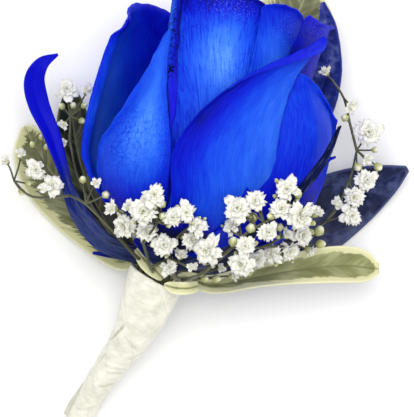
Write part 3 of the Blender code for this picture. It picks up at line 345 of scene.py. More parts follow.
shownPetals = {
    "petal_left_outer": {
        "left": [(-150, 0), (-164, 14), (-170, 30), (-166, 45), (-158, 54)],
        "right": [(-72, 0), (-79, 13), (-76, 27), (-74, 41), (-70, 52)],
        "crown": 3.5, "seed": 1,
        "radius": [(0, 5), (8, 17.6), (17, 23.6), (27, 24.4), (38, 23.8), (46, 23.2), (52, 21.4), (58, 19.6)],
        "rolls": [("right", 3.4, 120), ("top", 2.4, 70)], "ripple": 0.4,
        # Painted light and shade: the bright spots light the inner face that the lamps barely reach, and the low tone
        # round them is painted shade towards the petals in front.
        "paint": {"tone": 0.3, "veins": 0.03,
                  "spots": [(0.5, 0.56, 0.5, 0.36, 0.42), (0.2, 0.25, 0.4, 0.22, 0.25), (0.0, 1.0, 1.5, 0.12, -0.05)],
                  "rims": [("right", 2.0, -0.04, 0.0)]}},
    "petal_left_front": {
        "left": [(-58, 1), (-74, 9), (-62, 20), (-46, 31), (-37, 42), (-35, 49)],
        "right": [(-6, 1), (-8.5, 13), (-10.5, 25), (-19.3, 36), (-25.2, 44), (-29.5, 51)],
        "crown": 1.5, "seed": 2,
        "radius": [(0, 5), (8, 17), (20, 24), (32, 24.6), (45, 22), (55, 19.2)],
        "rolls": [("left", 1.6, 60)],
        # The dark spot at the base, t 0, is painted shade.
        "paint": {"tone": 0.48, "veins": 0.06,
                  "spots": [(0.3, 0.5, 0.6, 0.22, 0.36), (0.0, 0.0, 1.5, 0.2, -0.6), (1.0, 0.3, 0.25, 0.4, -0.14),
                            (-0.2, 0.85, 1.2, 0.15, 0.12)],
                  "crackle": [(-0.1, 0.46, 0.9, 0.15, 0.26)]}},
    "petal_middle_front": {
        "left": [(-24, 0), (-19, 15), (-18, 30), (-30, 46), (-40, 60)],
        "right": [(52, 0), (50, 20), (44, 38), (38, 53), (34, 62)],
        "crown": 2.6, "seed": 3, "fan": 0.9,
        "radius": [(0, 4), (10, 14), (25, 20), (45, 20.3), (65, 17.2)],
        "rolls": [("left", 1.2, 90), ("top", 2.0, 70)],
        "paint": {"tone": 0.5, "veins": 0.12,
                  "spots": [(0.05, 0.7, 0.42, 0.15, 0.38), (0.0, 1.0, 1.5, 0.12, -0.34)],
                  "rims": [("left", 2.0, -0.12, 0.1), ("right", 3.0, -0.1, 0.0)],
                  "crackle": [(0.2, 0.66, 0.5, 0.1, 0.08)], "paintedGlint": [(0.25, 0.92, 0.5, 0.06, 0.5)]}},
    "petal_middle_right": {
        "left": [(16, 0), (20, 18), (22, 34), (25, 50), (28, 62)],
        "right": [(92, 0), (94, 18), (90, 34), (86, 49), (80, 59)],
        "crown": 2.4, "seed": 4, "fan": 0.9,
        "radius": [(0, 4), (10, 15), (25, 21.6), (45, 22.2), (65, 18.8)],
        "rolls": [("top", 1.8, 70), ("left", 1.2, 50)],
        "paint": {"tone": 0.46, "veins": 0.06,
                  "spots": [(-0.45, 0.74, 0.4, 0.12, 0.26), (0.0, 1.0, 1.5, 0.1, -0.14)],
                  "rims": [("right", 3, -0.06, 0.0)], "paintedGlint": [(-0.1, 0.86, 0.4, 0.07, 0.6)]}},
    "petal_right_front": {
        "left": [(-24, 0), (-7, 12), (-9, 25), (2, 37), (20, 46), (40, 52.5), (55.5, 57.6)],
        "right": [(84, 1), (66, 11), (50, 22), (44, 33), (47, 43), (53, 50), (60, 55)],
        "crown": 0.0, "seed": 5,
        "radius": [(0, 6), (8, 18.5), (20, 26), (33, 27.4), (45, 26.4), (52, 27.4), (58, 30)],
        "rolls": [("left", 1.8, 90)],
        # The dark spot at the base, t 0, is painted shade.
        "paint": {"tone": 0.58, "veins": 0.06,
                  "spots": [(0.8, 0.5, 0.6, 0.22, 0.08), (-0.9, 0.52, 0.55, 0.34, -0.26), (0, 0.97, 1.5, 0.1, -0.1),
                            (0.0, 0.0, 1.5, 0.1, -1.0)],
                  "rims": [("left", 6.0, -0.13, 0.0)]}},
    "petal_right_outer": {
        "left": [(28, 0), (32, 13), (34, 27), (37, 40), (46, 50)],
        "right": [(104, 0), (112, 12), (114, 24), (103, 34), (80, 41.5)],
        "crown": 1.0, "seed": 6,
        "radius": [(0, 7), (7, 23.5), (17, 30.6), (29, 32.0), (37, 31.2), (45, 27.6), (52, 25.2)],
        "rolls": [("right", 3.0, 80), ("top", 2.4, 70)], "tuck": 5.6,
        # The dark spot low on the petal is painted shade.
        "paint": {"tone": 0.44, "veins": 0.04,
                  "spots": [(0.2, 0.28, 1.2, 0.22, -0.34)],
                  "rims": [("right", 1.6, -0.05, 0.0)]}},
    "petal_right_low": {
        "left": [(66, 0), (62, 8), (64, 16), (70, 23), (80, 28.6)],
        "right": [(112, 0), (118, 8), (119, 15), (113, 22), (98, 28.4)],
        "crown": 2.0, "seed": 7,
        "radius": [(0, 7), (6, 23.5), (13, 29.6), (22, 32.2), (31, 32.6)],
        "rolls": [("top", 2.6, 80)], "cup": -3.0,
        "paint": {"tone": 0.34, "veins": 0.05, "rims": [("top", 2.0, -0.05, 0.1)]}},
    "petal_right_back": {
        "left": [(40, 0), (43, 16), (45, 32), (44, 48), (46, 62)],
        "right": [(120, 0), (124, 16), (118, 32), (96, 47), (77, 60.5)],
        "crown": -0.8, "seed": 8,
        "radius": [(0, 5), (9, 18), (24, 24.2), (42, 24.2), (54, 25.2), (60, 26.6), (63, 28)],
        "rolls": [("top", 1.6, 80), ("left", 1.0, 60)],
        "paint": {"tone": 0.22, "veins": 0.05, "spots": [(0.8, 1.0, 0.6, 0.1, 0.12)],
                  "rims": [("top", 2, 0.05, 0.5)], "paintedGlint": [(-0.5, 0.95, 0.5, 0.06, 0.5)]}},
}

innerPetals = [
    # middle, half width, height, reach, closing, rim roll
    (205, 46, 47, 1.0, 0.98, 2.4),
    (158, 42, 45, 1.0, 0.99, 2.4),
    (166, 46, 55, 0.93, 0.92, 2.0),
    (140, 46, 57, 0.85, 0.86, 1.8),
    (180, 44, 59, 0.74, 0.82, 1.4),
    (95, 44, 61, 0.66, 0.80, 1.2),
    (-20, 48, 61.5, 0.54, 0.78, 1.0),
    (110, 50, 62, 0.46, 0.74, 0.8),
    (230, 52, 62, 0.40, 0.72, 0.8),
    (20, 62, 62, 0.28, 0.70, 0.0),
    (190, 70, 62.5, 0.22, 0.60, 0.0),
]


def innerPetal(number, middle, spread, top, reach, closing, roll):
    edge = [(1.0, 0), (1.06, 0.25), (1.0, 0.55), (0.86, 0.82), (0.6, 0.95)]
    reach *= bloomBuild["backReach"]
    return {"left": [(middle - spread * w, h * top) for w, h in edge],
            "right": [(middle + spread * w, h * top) for w, h in edge], "crown": 0.06 * top,
            "radius": [(0, 4.5), (0.16 * top, 0.66 * reach), (0.38 * top, 0.97 * reach), (0.62 * top, reach),
                       (0.85 * top, reach * (1 + closing) / 2), (top, reach * closing)],
            "rolls": [("top", roll, 75), ("left", roll, 60), ("right", roll, 60)], "seed": 20 + number,
            "paint": {"tone": 0.42, "veins": 0.1, "spots": [(0, 0.55, 0.9, 0.3, 0.12)],
                      "rims": [("top", 6, -0.2, 0.1), ("left", 3, -0.1, 0.0), ("right", 3, -0.1, 0.0)]}}


def addPetal(name, petal, across, along):
    widths = [abs(right.x - left.x) for left, right in (petalEdges(petal, i / 8) for i in range(9))]
    reach = max(radius for height, radius in petal["radius"])
    size = (reach * math.radians(max(widths)), petal["left"][-1][1], petal.get("fan", 0.2))
    return addSheet(name, lambda s, t: petalPlace(petal, s, t), across, along, bloomBuild["thickness"],
                    lambda s, t: petalPaint(petal, s, t), size=size)


# Where a rim is folded back over its petal: a strip that lies on the petal's outer face.
foldStrips = {
    "petal_middle_fold": {
        "petal": "petal_middle_front", "span": (0.46, 1.0), "grid": (14, 80), "size": (2.4, 33, 0), "lift": 0.8, "seed": 11,
        "wide": [(0, 0.2), (0.15, 1.4), (0.4, 2.4), (0.7, 2.8), (1, 2.6)],
        # Painted light and shadow: lighter towards the fold and darker at the free edge.
        "paint": {"tone": 0.4, "spots": [(1, 0.7, 0.5, 0.5, -0.3), (-0.6, 0.75, 0.5, 0.4, 0.25)],
                  "rolled": [(0, 0.2, 3, 0.3, 0.75)], "fleck": [(0.2, 0.7, 1.6, 0.26, 1.0), (-0.3, 0.42, 0.8, 0.03, 1.8)]}},
    "petal_right_fold": {
        "petal": "petal_right_front", "span": (0.58, 1.0), "grid": (16, 80), "size": (3.4, 26, 0), "lift": 1.2, "seed": 12,
        "wide": [(0, 0.2), (0.2, 1.0), (0.5, 2.6), (0.75, 3.5), (0.92, 3.2), (1, 1.6)],
        "paint": {"tone": 0.36, "spots": [(0.4, 0.8, 0.7, 0.25, 0.1)], "rolled": [(0, 0.7, 3, 0.5, 0.5)],
                  "fleck": []}},
}


def foldPlace(strip, s, t):
    petal = shownPetals[strip["petal"]]
    along = strip["span"][0] + (strip["span"][1] - strip["span"][0]) * t
    left, right = petalEdges(petal, along)
    halfWidth = smoothTable(petal["radius"], left.y) * math.radians(right.x - left.x) / 2
    across = (s + 1) / 2  # 0 on the fold line, 1 at the strip's free edge
    wide = smoothTable(strip["wide"], t) * (1 + 0.12 * noise.noise(Vector((t * 9, 0, strip["seed"]))))
    place = petalPlace(petal, min(-1 + 0.02 + across * wide / max(halfWidth, 1.0), 0.9), along)
    turn = math.radians(left.x + across * wide / 24 / math.pi * 180)
    outward = bloomRight * math.sin(turn) + bloomFront * math.cos(turn)
    lift = strip["lift"] * min(1, wide / 1.5) * math.sin(min(across * 1.35, 1) * math.pi / 2) ** 0.6
    lift += 0.3 * across * noise.noise(Vector((t * 14, across * 2, strip["seed"]))) * min(1, wide / 1.5)
    return place + outward * (lift + 0.12)


def foldPaint(strip, s, t):
    paint = strip["paint"]
    return {"tone": paint["tone"] + spots(paint["spots"], s, t), "veins": 0.04, "crackle": 0.0, "paintedGlint": 0.0,
            "rolled": min(spots(paint["rolled"], s, t), 1), "fleck": spots(paint["fleck"], s, t)}


petalSkin = petalMaterial("dyedRosePetal", petalLook)
for name, petal in shownPetals.items():
    piece = addPetal(name, petal, *bloomBuild["shownGrid"])
    finishPiece(joined(name, [piece], [petalSkin]), "petal", "rose_bloom")
for name, strip in foldStrips.items():
    piece = addSheet(name, lambda s, t: foldPlace(strip, s, t), *strip["grid"], bloomBuild["thickness"],
                     lambda s, t: foldPaint(strip, s, t), size=strip["size"])
    finishPiece(joined(name, [piece], [petalSkin]), "petal", "rose_bloom")
inner = [addPetal("inner", innerPetal(number, *row), *bloomBuild["innerGrid"])
         for number, row in enumerate(innerPetals)]
finishPiece(joined("petals_inner", inner, [petalSkin]), "petal", "rose_bloom")
print("stage: bloom,", len(shownPetals) + len(innerPetals), "petals")


# Floral tape: stretchy cream crepe with a waxy sheen, wound down the stems in steep overlapping turns, with painted
# shade in its creases and along each turn's step.
tapePath = [(-15.3, -32.8, 22.0), (-18.5, -41.2, 18.6), (-22.5, -49.2, 14.8), (-26.3, -54.5, 12.0),
            (-29.8, -59.6, 9.4), (-32.7, -64.7, 7.2), (-36.8, -71.6, 4.8), (-41.8, -79.8, 2.331)]
tapeRadii = [6.9, 6.1, 4.5, 3.9, 3.4, 3.0, 2.6, 2.4]
tapeBuild = {"wall": 0.55, "around": 120, "along": 220, "starts": 3, "pitch": 13.0, "step": 0.13,
             "mouthLines": 0.2, "wrinkle": 0.16, "floor": 0.15,
             # lines from one place to another, each in degrees from the top and t, then half width and depth in
             # mm, below zero where the tape folds up, and how much painted shade the line gets
             "lines": [(-28, 0.19, -64, 0.31, 0.3, 0.36, 0.9), (-20, 0.23, 42, 0.27, 0.35, 0.2, 0.35),
                       (-62, 0.33, -24, 0.23, 0.7, -0.3, 0.0), (62, 0.1, 40, 0.24, 0.7, -0.3, 0.1),
                       (66, 0.27, 20, 0.32, 0.6, -0.34, 0.15), (-30, 0.42, 58, 0.37, 0.6, -0.34, 0.1),
                       (-10, 0.46, 60, 0.42, 0.5, 0.24, 0.4), (-50, 0.5, 30, 0.62, 0.6, -0.3, 0.1),
                       (0, 0.56, 60, 0.5, 0.4, 0.22, 0.4), (-30, 0.74, 40, 0.68, 0.5, -0.25, 0.15),
                       (-40, 0.36, -60, 0.5, 0.4, 0.2, 0.3), (20, 0.84, -40, 0.9, 0.5, 0.2, 0.3)]}


def tapeFrame(t):  # centre, direction down the stem, sideways and upward
    centre = smoothRow(tapePath, t)
    down = (smoothRow(tapePath, min(t + 0.02, 1)) - smoothRow(tapePath, max(t - 0.02, 0))).normalized()
    side = Vector((0, 0, 1)).cross(down).normalized()
    if side.x < 0:
        side = -side
    upward = side.cross(down)
    if upward.z < 0:
        upward = -upward
    return centre, down, side, upward


def mouthSlot(sideways, upward, depth):
    centre, down, side, up = tapeFrame(0)
    return centre + side * sideways + up * upward + down * depth


def tapeRadius(t):
    return smoothTable([(i / (len(tapeRadii) - 1), r) for i, r in enumerate(tapeRadii)], t)


def tapeLines(s, t):  # how deep the creases are and how much painted shade they get at one place
    depth = dark = 0.0
    spot = Vector((s * 180, t))
    for x0, t0, x1, t1, wide, deep, shade in tapeBuild["lines"]:
        scale = Vector((math.radians(1) * tapeRadius(t0), 56))
        start, end, here = (Vector((v[0] * scale[0], v[1] * scale[1])) for v in ((x0, t0), (x1, t1), spot))
        run = end - start
        mix = min(max((here - start).dot(run) / run.length_squared, 0), 1)
        away = (here - start - run * mix).length + 0.25 * noise.noise(Vector((here.x, here.y, x0)))
        near = math.exp(-(away / wide) ** 2) * min(1, 4 * mix + 0.2, 4.2 - 4 * mix)
        depth += deep * near
        dark += shade * near
    return depth, min(dark, 1)


def tapePlace(s, t):
    build = tapeBuild
    centre, down, side, up = tapeFrame(t)
    turn = s * math.pi
    length = 56 * t
    wound = build["starts"] * s / 2 - length / build["pitch"]
    wound += 0.08 * noise.noise(Vector((math.sin(turn), math.cos(turn), t * 5)))
    lap = wound - math.floor(wound)  # 0 at a turn's covered edge, 1 at its free edge
    fading = min(1, t * 7)
    proud = build["step"] * lap ** 2.5 * fading
    rings = (length / 1.15 + 0.15 * math.sin(turn)) % 1
    proud += build["mouthLines"] * rings ** 2 * max(0, 1 - t * 5)
    across = Vector((math.sin(turn + length * 0.12) * 2.2, math.cos(turn + length * 0.12) * 2.2, length * 0.16))
    proud += build["wrinkle"] * noise.noise(across)
    proud += build["wrinkle"] * 0.5 * noise.noise(across * 2.7)
    radius = tapeRadius(t) + max(proud - tapeLines(s, t)[0], -0.4)
    if t > 0.985:  # the tape is pinched shut over the cut ends
        radius *= 1 - 0.2 * (t - 0.985) / 0.015
    rim = 1.4 * math.cos(turn + 0.6) * max(0, 1 - t * 6)
    place = centre + side * radius * math.sin(turn) + up * radius * math.cos(turn) - down * rim
    place.z = max(place.z, build["floor"])
    return place


def clothPaint(s, t):
    wound = tapeBuild["starts"] * s / 2 - 56 * t / tapeBuild["pitch"]
    return {"lap": wound - math.floor(wound), "creaseShade": tapeLines(s, t)[1]}


tapeLook = {"light": "faf8ea", "shade": "dad8c6", "threadSpacing": 0.32}  # crepe ribs drawn a little coarse to show


def tapeMaterial(look):
    made, tree, shader = startMaterial("waxedFloralTape", {
        "IOR": 1.46, "Sheen Weight": 0.15, "Sheen Roughness": 0.4, "Coat Weight": 0.12, "Coat Roughness": 0.35})
    place = addNode(tree, "ShaderNodeTexCoord")
    lap, creaseShade = (addNode(tree, "ShaderNodeAttribute", {"attribute_name": n}) for n in ("lap", "creaseShade"))
    turned = addNode(tree, "ShaderNodeMapping", None, {
        "Vector": place.outputs["Object"], "Rotation": (0, 0, math.radians(-62)), "Scale": (1000, 1000, 1000)})
    ribs = addNode(tree, "ShaderNodeMapping", None, {
        "Vector": turned.outputs["Vector"], "Scale": (0.5 / look["threadSpacing"], 0.12 / look["threadSpacing"], 1)})
    crepe = addNode(tree, "ShaderNodeTexNoise", None, {
        "Vector": ribs.outputs["Vector"], "Scale": 1.0, "Detail": 3.0, "Roughness": 0.6})
    cloud = addNode(tree, "ShaderNodeTexNoise", None, {
        "Vector": turned.outputs["Vector"], "Scale": 0.28, "Detail": 3.0})
    mixed = addNode(tree, "ShaderNodeMath", {"operation": "MULTIPLY_ADD"}, {
        0: crepe.outputs["Fac"], 1: 0.5, 2: cloud.outputs["Fac"]})
    level = addNode(tree, "ShaderNodeMapRange", None, {
        "Value": mixed.outputs[0], "From Min": 0.5, "From Max": 1.0})
    tone = addNode(tree, "ShaderNodeMixRGB", None, {
        "Fac": level.outputs[0], "Color1": linear(look["shade"]), "Color2": linear(look["light"])})
    # Painted shade along the low side of each turn's step, where the turn above stands proud.
    edge = addNode(tree, "ShaderNodeMapRange", {"interpolation_type": "SMOOTHSTEP"}, {
        "Value": lap.outputs["Fac"], "From Min": 0.0, "From Max": 0.1, "To Min": 0.2, "To Max": 0.0})
    shaded = addNode(tree, "ShaderNodeMath", {"operation": "MAXIMUM"}, {0: edge.outputs[0], 1: creaseShade.outputs["Fac"]})
    # Painted shade: the step beside each lap and the creases darken towards this grey.
    final = addNode(tree, "ShaderNodeMixRGB", None, {
        "Fac": shaded.outputs[0], "Color1": tone.outputs["Color"], "Color2": linear("a9a897")})
    tree.links.new(final.outputs["Color"], shader.inputs["Base Color"])
    rough = addNode(tree, "ShaderNodeMapRange", None, {
        "Value": cloud.outputs["Fac"], "From Min": 0.35, "From Max": 0.65, "To Min": 0.38, "To Max": 0.62})
    tree.links.new(rough.outputs[0], shader.inputs["Roughness"])
    bump = addNode(tree, "ShaderNodeBump", None, {
        "Strength": 0.4, "Distance": 0.0001, "Height": crepe.outputs["Fac"]})
    tree.links.new(bump.outputs["Normal"], shader.inputs["Normal"])
    return made


flapBuild = {"corners": [(-32.6, -58.2, 7.6), (-36.0, -64.0, 5.4), (-38.0, -68.0, 4.0)], "wide": 1.1}


def flapPlace(s, t):  # the tape's loose end, lying along the stem
    centre = smoothRow(flapBuild["corners"], t)
    wide = flapBuild["wide"] * min(1, 0.15 + 1.3 * t)
    return centre + Vector((0.72, -0.5, 0.3)) * s * wide + Vector((0, 0, 0.25 * math.sin(t * 5 + s)))


tapeSkin = tapeMaterial(tapeLook)
sleeve = addSheet("tape", tapePlace, tapeBuild["around"], tapeBuild["along"], tapeBuild["wall"], clothPaint,
                  offset=1.0, closed=True)
# The loose end takes part of the same painted shade, which greys it.
flap = addSheet("flap", flapPlace, 6, 16, 0.14, lambda s, t: {"lap": 0.6, "creaseShade": 0.45})
finishPiece(joined("floral_tape", [sleeve, flap], [tapeSkin]), "tape", "tape_wrap")
print("stage: tape")


# Leaves: a spine through points, a half width along it, a fold and a wave.
flatLevel = 0.325  # mid level of the backing leaf, half its packed thickness
level = [(0, 0), (1, 0)]
leafBuild = {"across": 26, "along": 84, "thickness": 0.34, "ribDepth": 0.16, "veinDepth": 0.07,
             "veinSpacing": 2.3, "veinSlope": 1.25, "crumple": 0.14, "crumpleSize": 3.2,
             "wrinkle": 0.16, "wrinkleSize": 1.3}
leaves = {
    "leaf_backing": {
        "spine": [mouthSlot(0.4, -4.5, 6), mouthSlot(0.5, -4.8, -3), (-11.6, -27.6, 6.5), (-8.4, -20.0, flatLevel),
                  (-3.2, -10, flatLevel), (2.0, 0, flatLevel), (7.0, 10, flatLevel), (12.2, 20, flatLevel),
                  (18.4, 30.0, 0.9), (22.4, 38.8, 2.2)],
        "half": [(0, 0.8), (0.18, 0.9), (0.3, 4.6), (0.45, 8.2), (0.6, 9.8), (0.75, 10.4), (0.88, 9.9), (0.96, 7.6), (1, 3.0)],
        "turn": level, "fold": 0, "wave": 0, "waves": 1, "phase": 0, "clear": 0, "kind": "variegated"},
    "leaf_left": {
        "spine": [mouthSlot(-2.1, -3.9, 6), mouthSlot(-2.7, -4.6, -3), (-23.4, -27.2, 9.5), (-31.6, -19.4, 3.2),
                  (-39.2, -11.0, 0.2), (-45.0, -3.2, 2.0), (-48.4, 4.0, 6.0)],
        "half": [(0, 0.8), (0.16, 1.2), (0.34, 5.0), (0.55, 8.0), (0.75, 8.2), (0.9, 5.6), (1, 1.2)],
        "turn": [(0, 0), (0.3, 4), (1, -4)], "fold": 14, "wave": 1.1, "waves": 2.3, "phase": 0.5, "kind": "variegated"},
    "leaf_right_dyed": {
        "spine": [mouthSlot(3.6, -2.4, 6), mouthSlot(4.2, -2.8, -3), (-2.0, -33.0, 12.2), (10.2, -27.4, 4.0),
                  (21.6, -20.4, 0.4), (33.6, -13.4, 2.0), (46.6, -6.6, 7.4)],
        "half": [(0, 0.8), (0.2, 1.0), (0.38, 4.6), (0.55, 8.4), (0.7, 9.4), (0.84, 7.4), (0.94, 4.0), (1, 0.8)],
        "turn": level, "fold": 8, "wave": 0.7, "waves": 1.8, "phase": 1.0, "kind": "dyed"},
    "leaf_low_right": {
        "spine": [mouthSlot(4.5, 1.1, 6), mouthSlot(5.5, 1.9, -2.6), (-1.8, -35.0, 21.6), (9.7, -32.9, 21.6),
                  (20.7, -31.1, 20.4), (30.5, -30.4, 18.6), (38.8, -31.2, 17)],
        "half": [(0, 0.7), (0.14, 0.8), (0.3, 2.2), (0.5, 3.4), (0.7, 4.5), (0.85, 4.9), (0.94, 3.9), (1, 1.4)],
        "turn": [(0, 0), (0.3, 22), (1, 12)], "fold": 20, "wave": 0.5, "waves": 2.4, "phase": 0.3,
        "kind": "folded"},
    "leaf_top_dyed": {
        "spine": [mouthSlot(2.2, -3.9, 6), mouthSlot(2.6, -4.4, -3), (-4.6, -25.6, 7.8), (9.2, -12.4, 4.9),
                  (20.4, 3.1, 5.6), (26.0, 15.8, 8), (26.8, 26.6, 10), (25.4, 34.4, 11)],
        "half": [(0, 0.8), (0.2, 1.0), (0.4, 4.6), (0.62, 5.5), (0.8, 4.0), (0.93, 1.8), (1, 0.5)],
        "turn": [(0, 0), (0.4, 0), (0.6, 24), (1, 30)], "fold": 8, "wave": 0.7, "waves": 2.6, "phase": 0.8,
        "kind": "bright"},
    "leaf_inner_left": {
        "spine": [mouthSlot(-3.9, -2.6, 6), mouthSlot(-4.6, -3.2, -3), (-23.6, -25.4, 13.2), (-29.8, -16.6, 11.4),
                  (-34.2, -5.7, 11.6), (-36.2, 5.4, 12.4), (-36.4, 13.4, 14)],
        "half": [(0, 0.8), (0.2, 1.0), (0.38, 3.4), (0.6, 5.0), (0.8, 4.6), (0.93, 2.6), (1, 0.8)],
        "turn": [(0, 0), (0.4, -10), (1, -16)], "fold": 12, "wave": 0.5, "waves": 2.2, "phase": 0.2, "kind": "dark"},
}


def leafFrame(leaf, s, t):  # the plain blade's place, its normal and its half width there
    spine = leaf["spine"]
    centre = smoothRow(spine, t)
    along = (smoothRow(spine, min(t + 0.02, 1)) - smoothRow(spine, max(t - 0.02, 0))).normalized()
    turn = math.radians(smoothTable(leaf["turn"], t))
    side = along.cross(Vector((0, 0, 1))).normalized()
    normal = side.cross(along)
    side, normal = (side * math.cos(turn) + normal * math.sin(turn),
                    normal * math.cos(turn) - side * math.sin(turn))
    half = smoothTable(leaf["half"], t)
    fold = math.radians(leaf["fold"]) * min(1, half / 3)
    lift = abs(s) ** 1.3 * half * math.sin(fold)
    lift += leaf["wave"] * s * abs(s) * min(1, half / 4) * math.sin(leaf["waves"] * math.tau * t + leaf["phase"])
    return centre + side * s * half * math.cos(fold) + normal * lift, normal, half


def spineLength(leaf):
    points = [smoothRow(leaf["spine"], i / 40) for i in range(41)]
    return sum((b - a).length for a, b in zip(points, points[1:]))


def leafPlace(leaf, s, t):
    build = leafBuild
    place, normal, half = leafFrame(leaf, s, t)
    aside = abs(s) * half
    grown = min(1, half / 4)
    rib = -build["ribDepth"] * math.exp(-(aside / 0.5) ** 2)
    run = (t * leaf["length"] - aside * build["veinSlope"]) / build["veinSpacing"]
    look = leafLooks.get(leaf.get("kind"))
    if look and look["veins"]:
        rib -= build["veinDepth"] * grown * math.exp(-(((run % 1) - 0.5) / 0.16) ** 2) * min(1, aside)
    else:  # a dyed blade is soft, so it wrinkles instead
        rib += build["wrinkle"] * grown * crumple(place, build["wrinkleSize"], leaf["phase"] + 3)
    rib += build["crumple"] * grown * crumple(place, build["crumpleSize"], leaf["phase"])
    place = place + normal * rib
    place.z = max(place.z, flatLevel + leaf.get("clear", 0.06))
    return place


def leafPaint(leaf, s, t):
    half = smoothTable(leaf["half"], t)
    ends = min(t, 1 - t) * leaf["length"]
    return {"edge": min((1 - abs(s)) * half, ends + 0.4), "along": t * leaf["length"], "aside": s * half,
            "vivid": smoothTable(leaf["vivid"], t) if "vivid" in leaf else 0.0}


# A leaf's colours: its middle's tones, its margin, how far that reaches in and how ragged it is, in mm.
leafLooks = {
    "variegated": {"name": "variegatedLeaf", "middle": ("5f6240", "777a55", "979973"), "margin": "d4d39f", "rim": "f1f0cc",
                   "reach": 2.3, "ragged": 3.8, "rib": "a5a67c", "rough": (0.42, 0.6), "coat": 0.05, "veins": 1,
                   "grain": (0.62, 0.16)},
    "folded": {"name": "foldedVariegatedLeaf", "middle": ("797c4c", "8b8e5e", "a5a778"), "margin": "dad9a8", "rim": "efedc4",
               "reach": 1.5, "ragged": 1.0, "rib": "6f7147", "rough": (0.42, 0.6), "coat": 0.05, "veins": 1,
               "grain": (0.26, 0.12)},
    # On the dyed and bright blades the palest middle tone is a painted silvery sheen, laid in patches.
    "dyed": {"name": "dyedLeaf", "middle": ("0f1537", "1f284f", "474f7a"), "margin": "14246c", "rim": "4a5580",
             "reach": 0.25, "ragged": 0.6, "rib": "2c3560", "rough": (0.3, 0.5), "coat": 0.12, "veins": 0,
             "grain": (0.42, 0.36)},
    "bright": {"name": "brightDyedLeaf", "middle": ("142064", "2c3887", "5f6aa8"), "margin": "1b2c90", "rim": "2c3a92",
               "reach": 0.25, "ragged": 0.6, "rib": "36439c", "rough": (0.3, 0.5), "coat": 0.12, "veins": 0,
               "grain": (0.5, 0.3)},
    # Its olive is its own; its near-black depth is painted shade, as the leaf lies in shadow behind the long sepal and
    # the bloom.
    "dark": {"name": "shadedOliveLeaf", "middle": ("15170b", "2b2e1a", "5d6040"), "margin": "3b3e25", "rim": "5a5d3a",
             "reach": 0.5, "ragged": 0.8, "rib": "6c6f4a", "rough": (0.4, 0.6), "coat": 0.05, "veins": 1,
             "grain": (0.62, 0.16)},
}


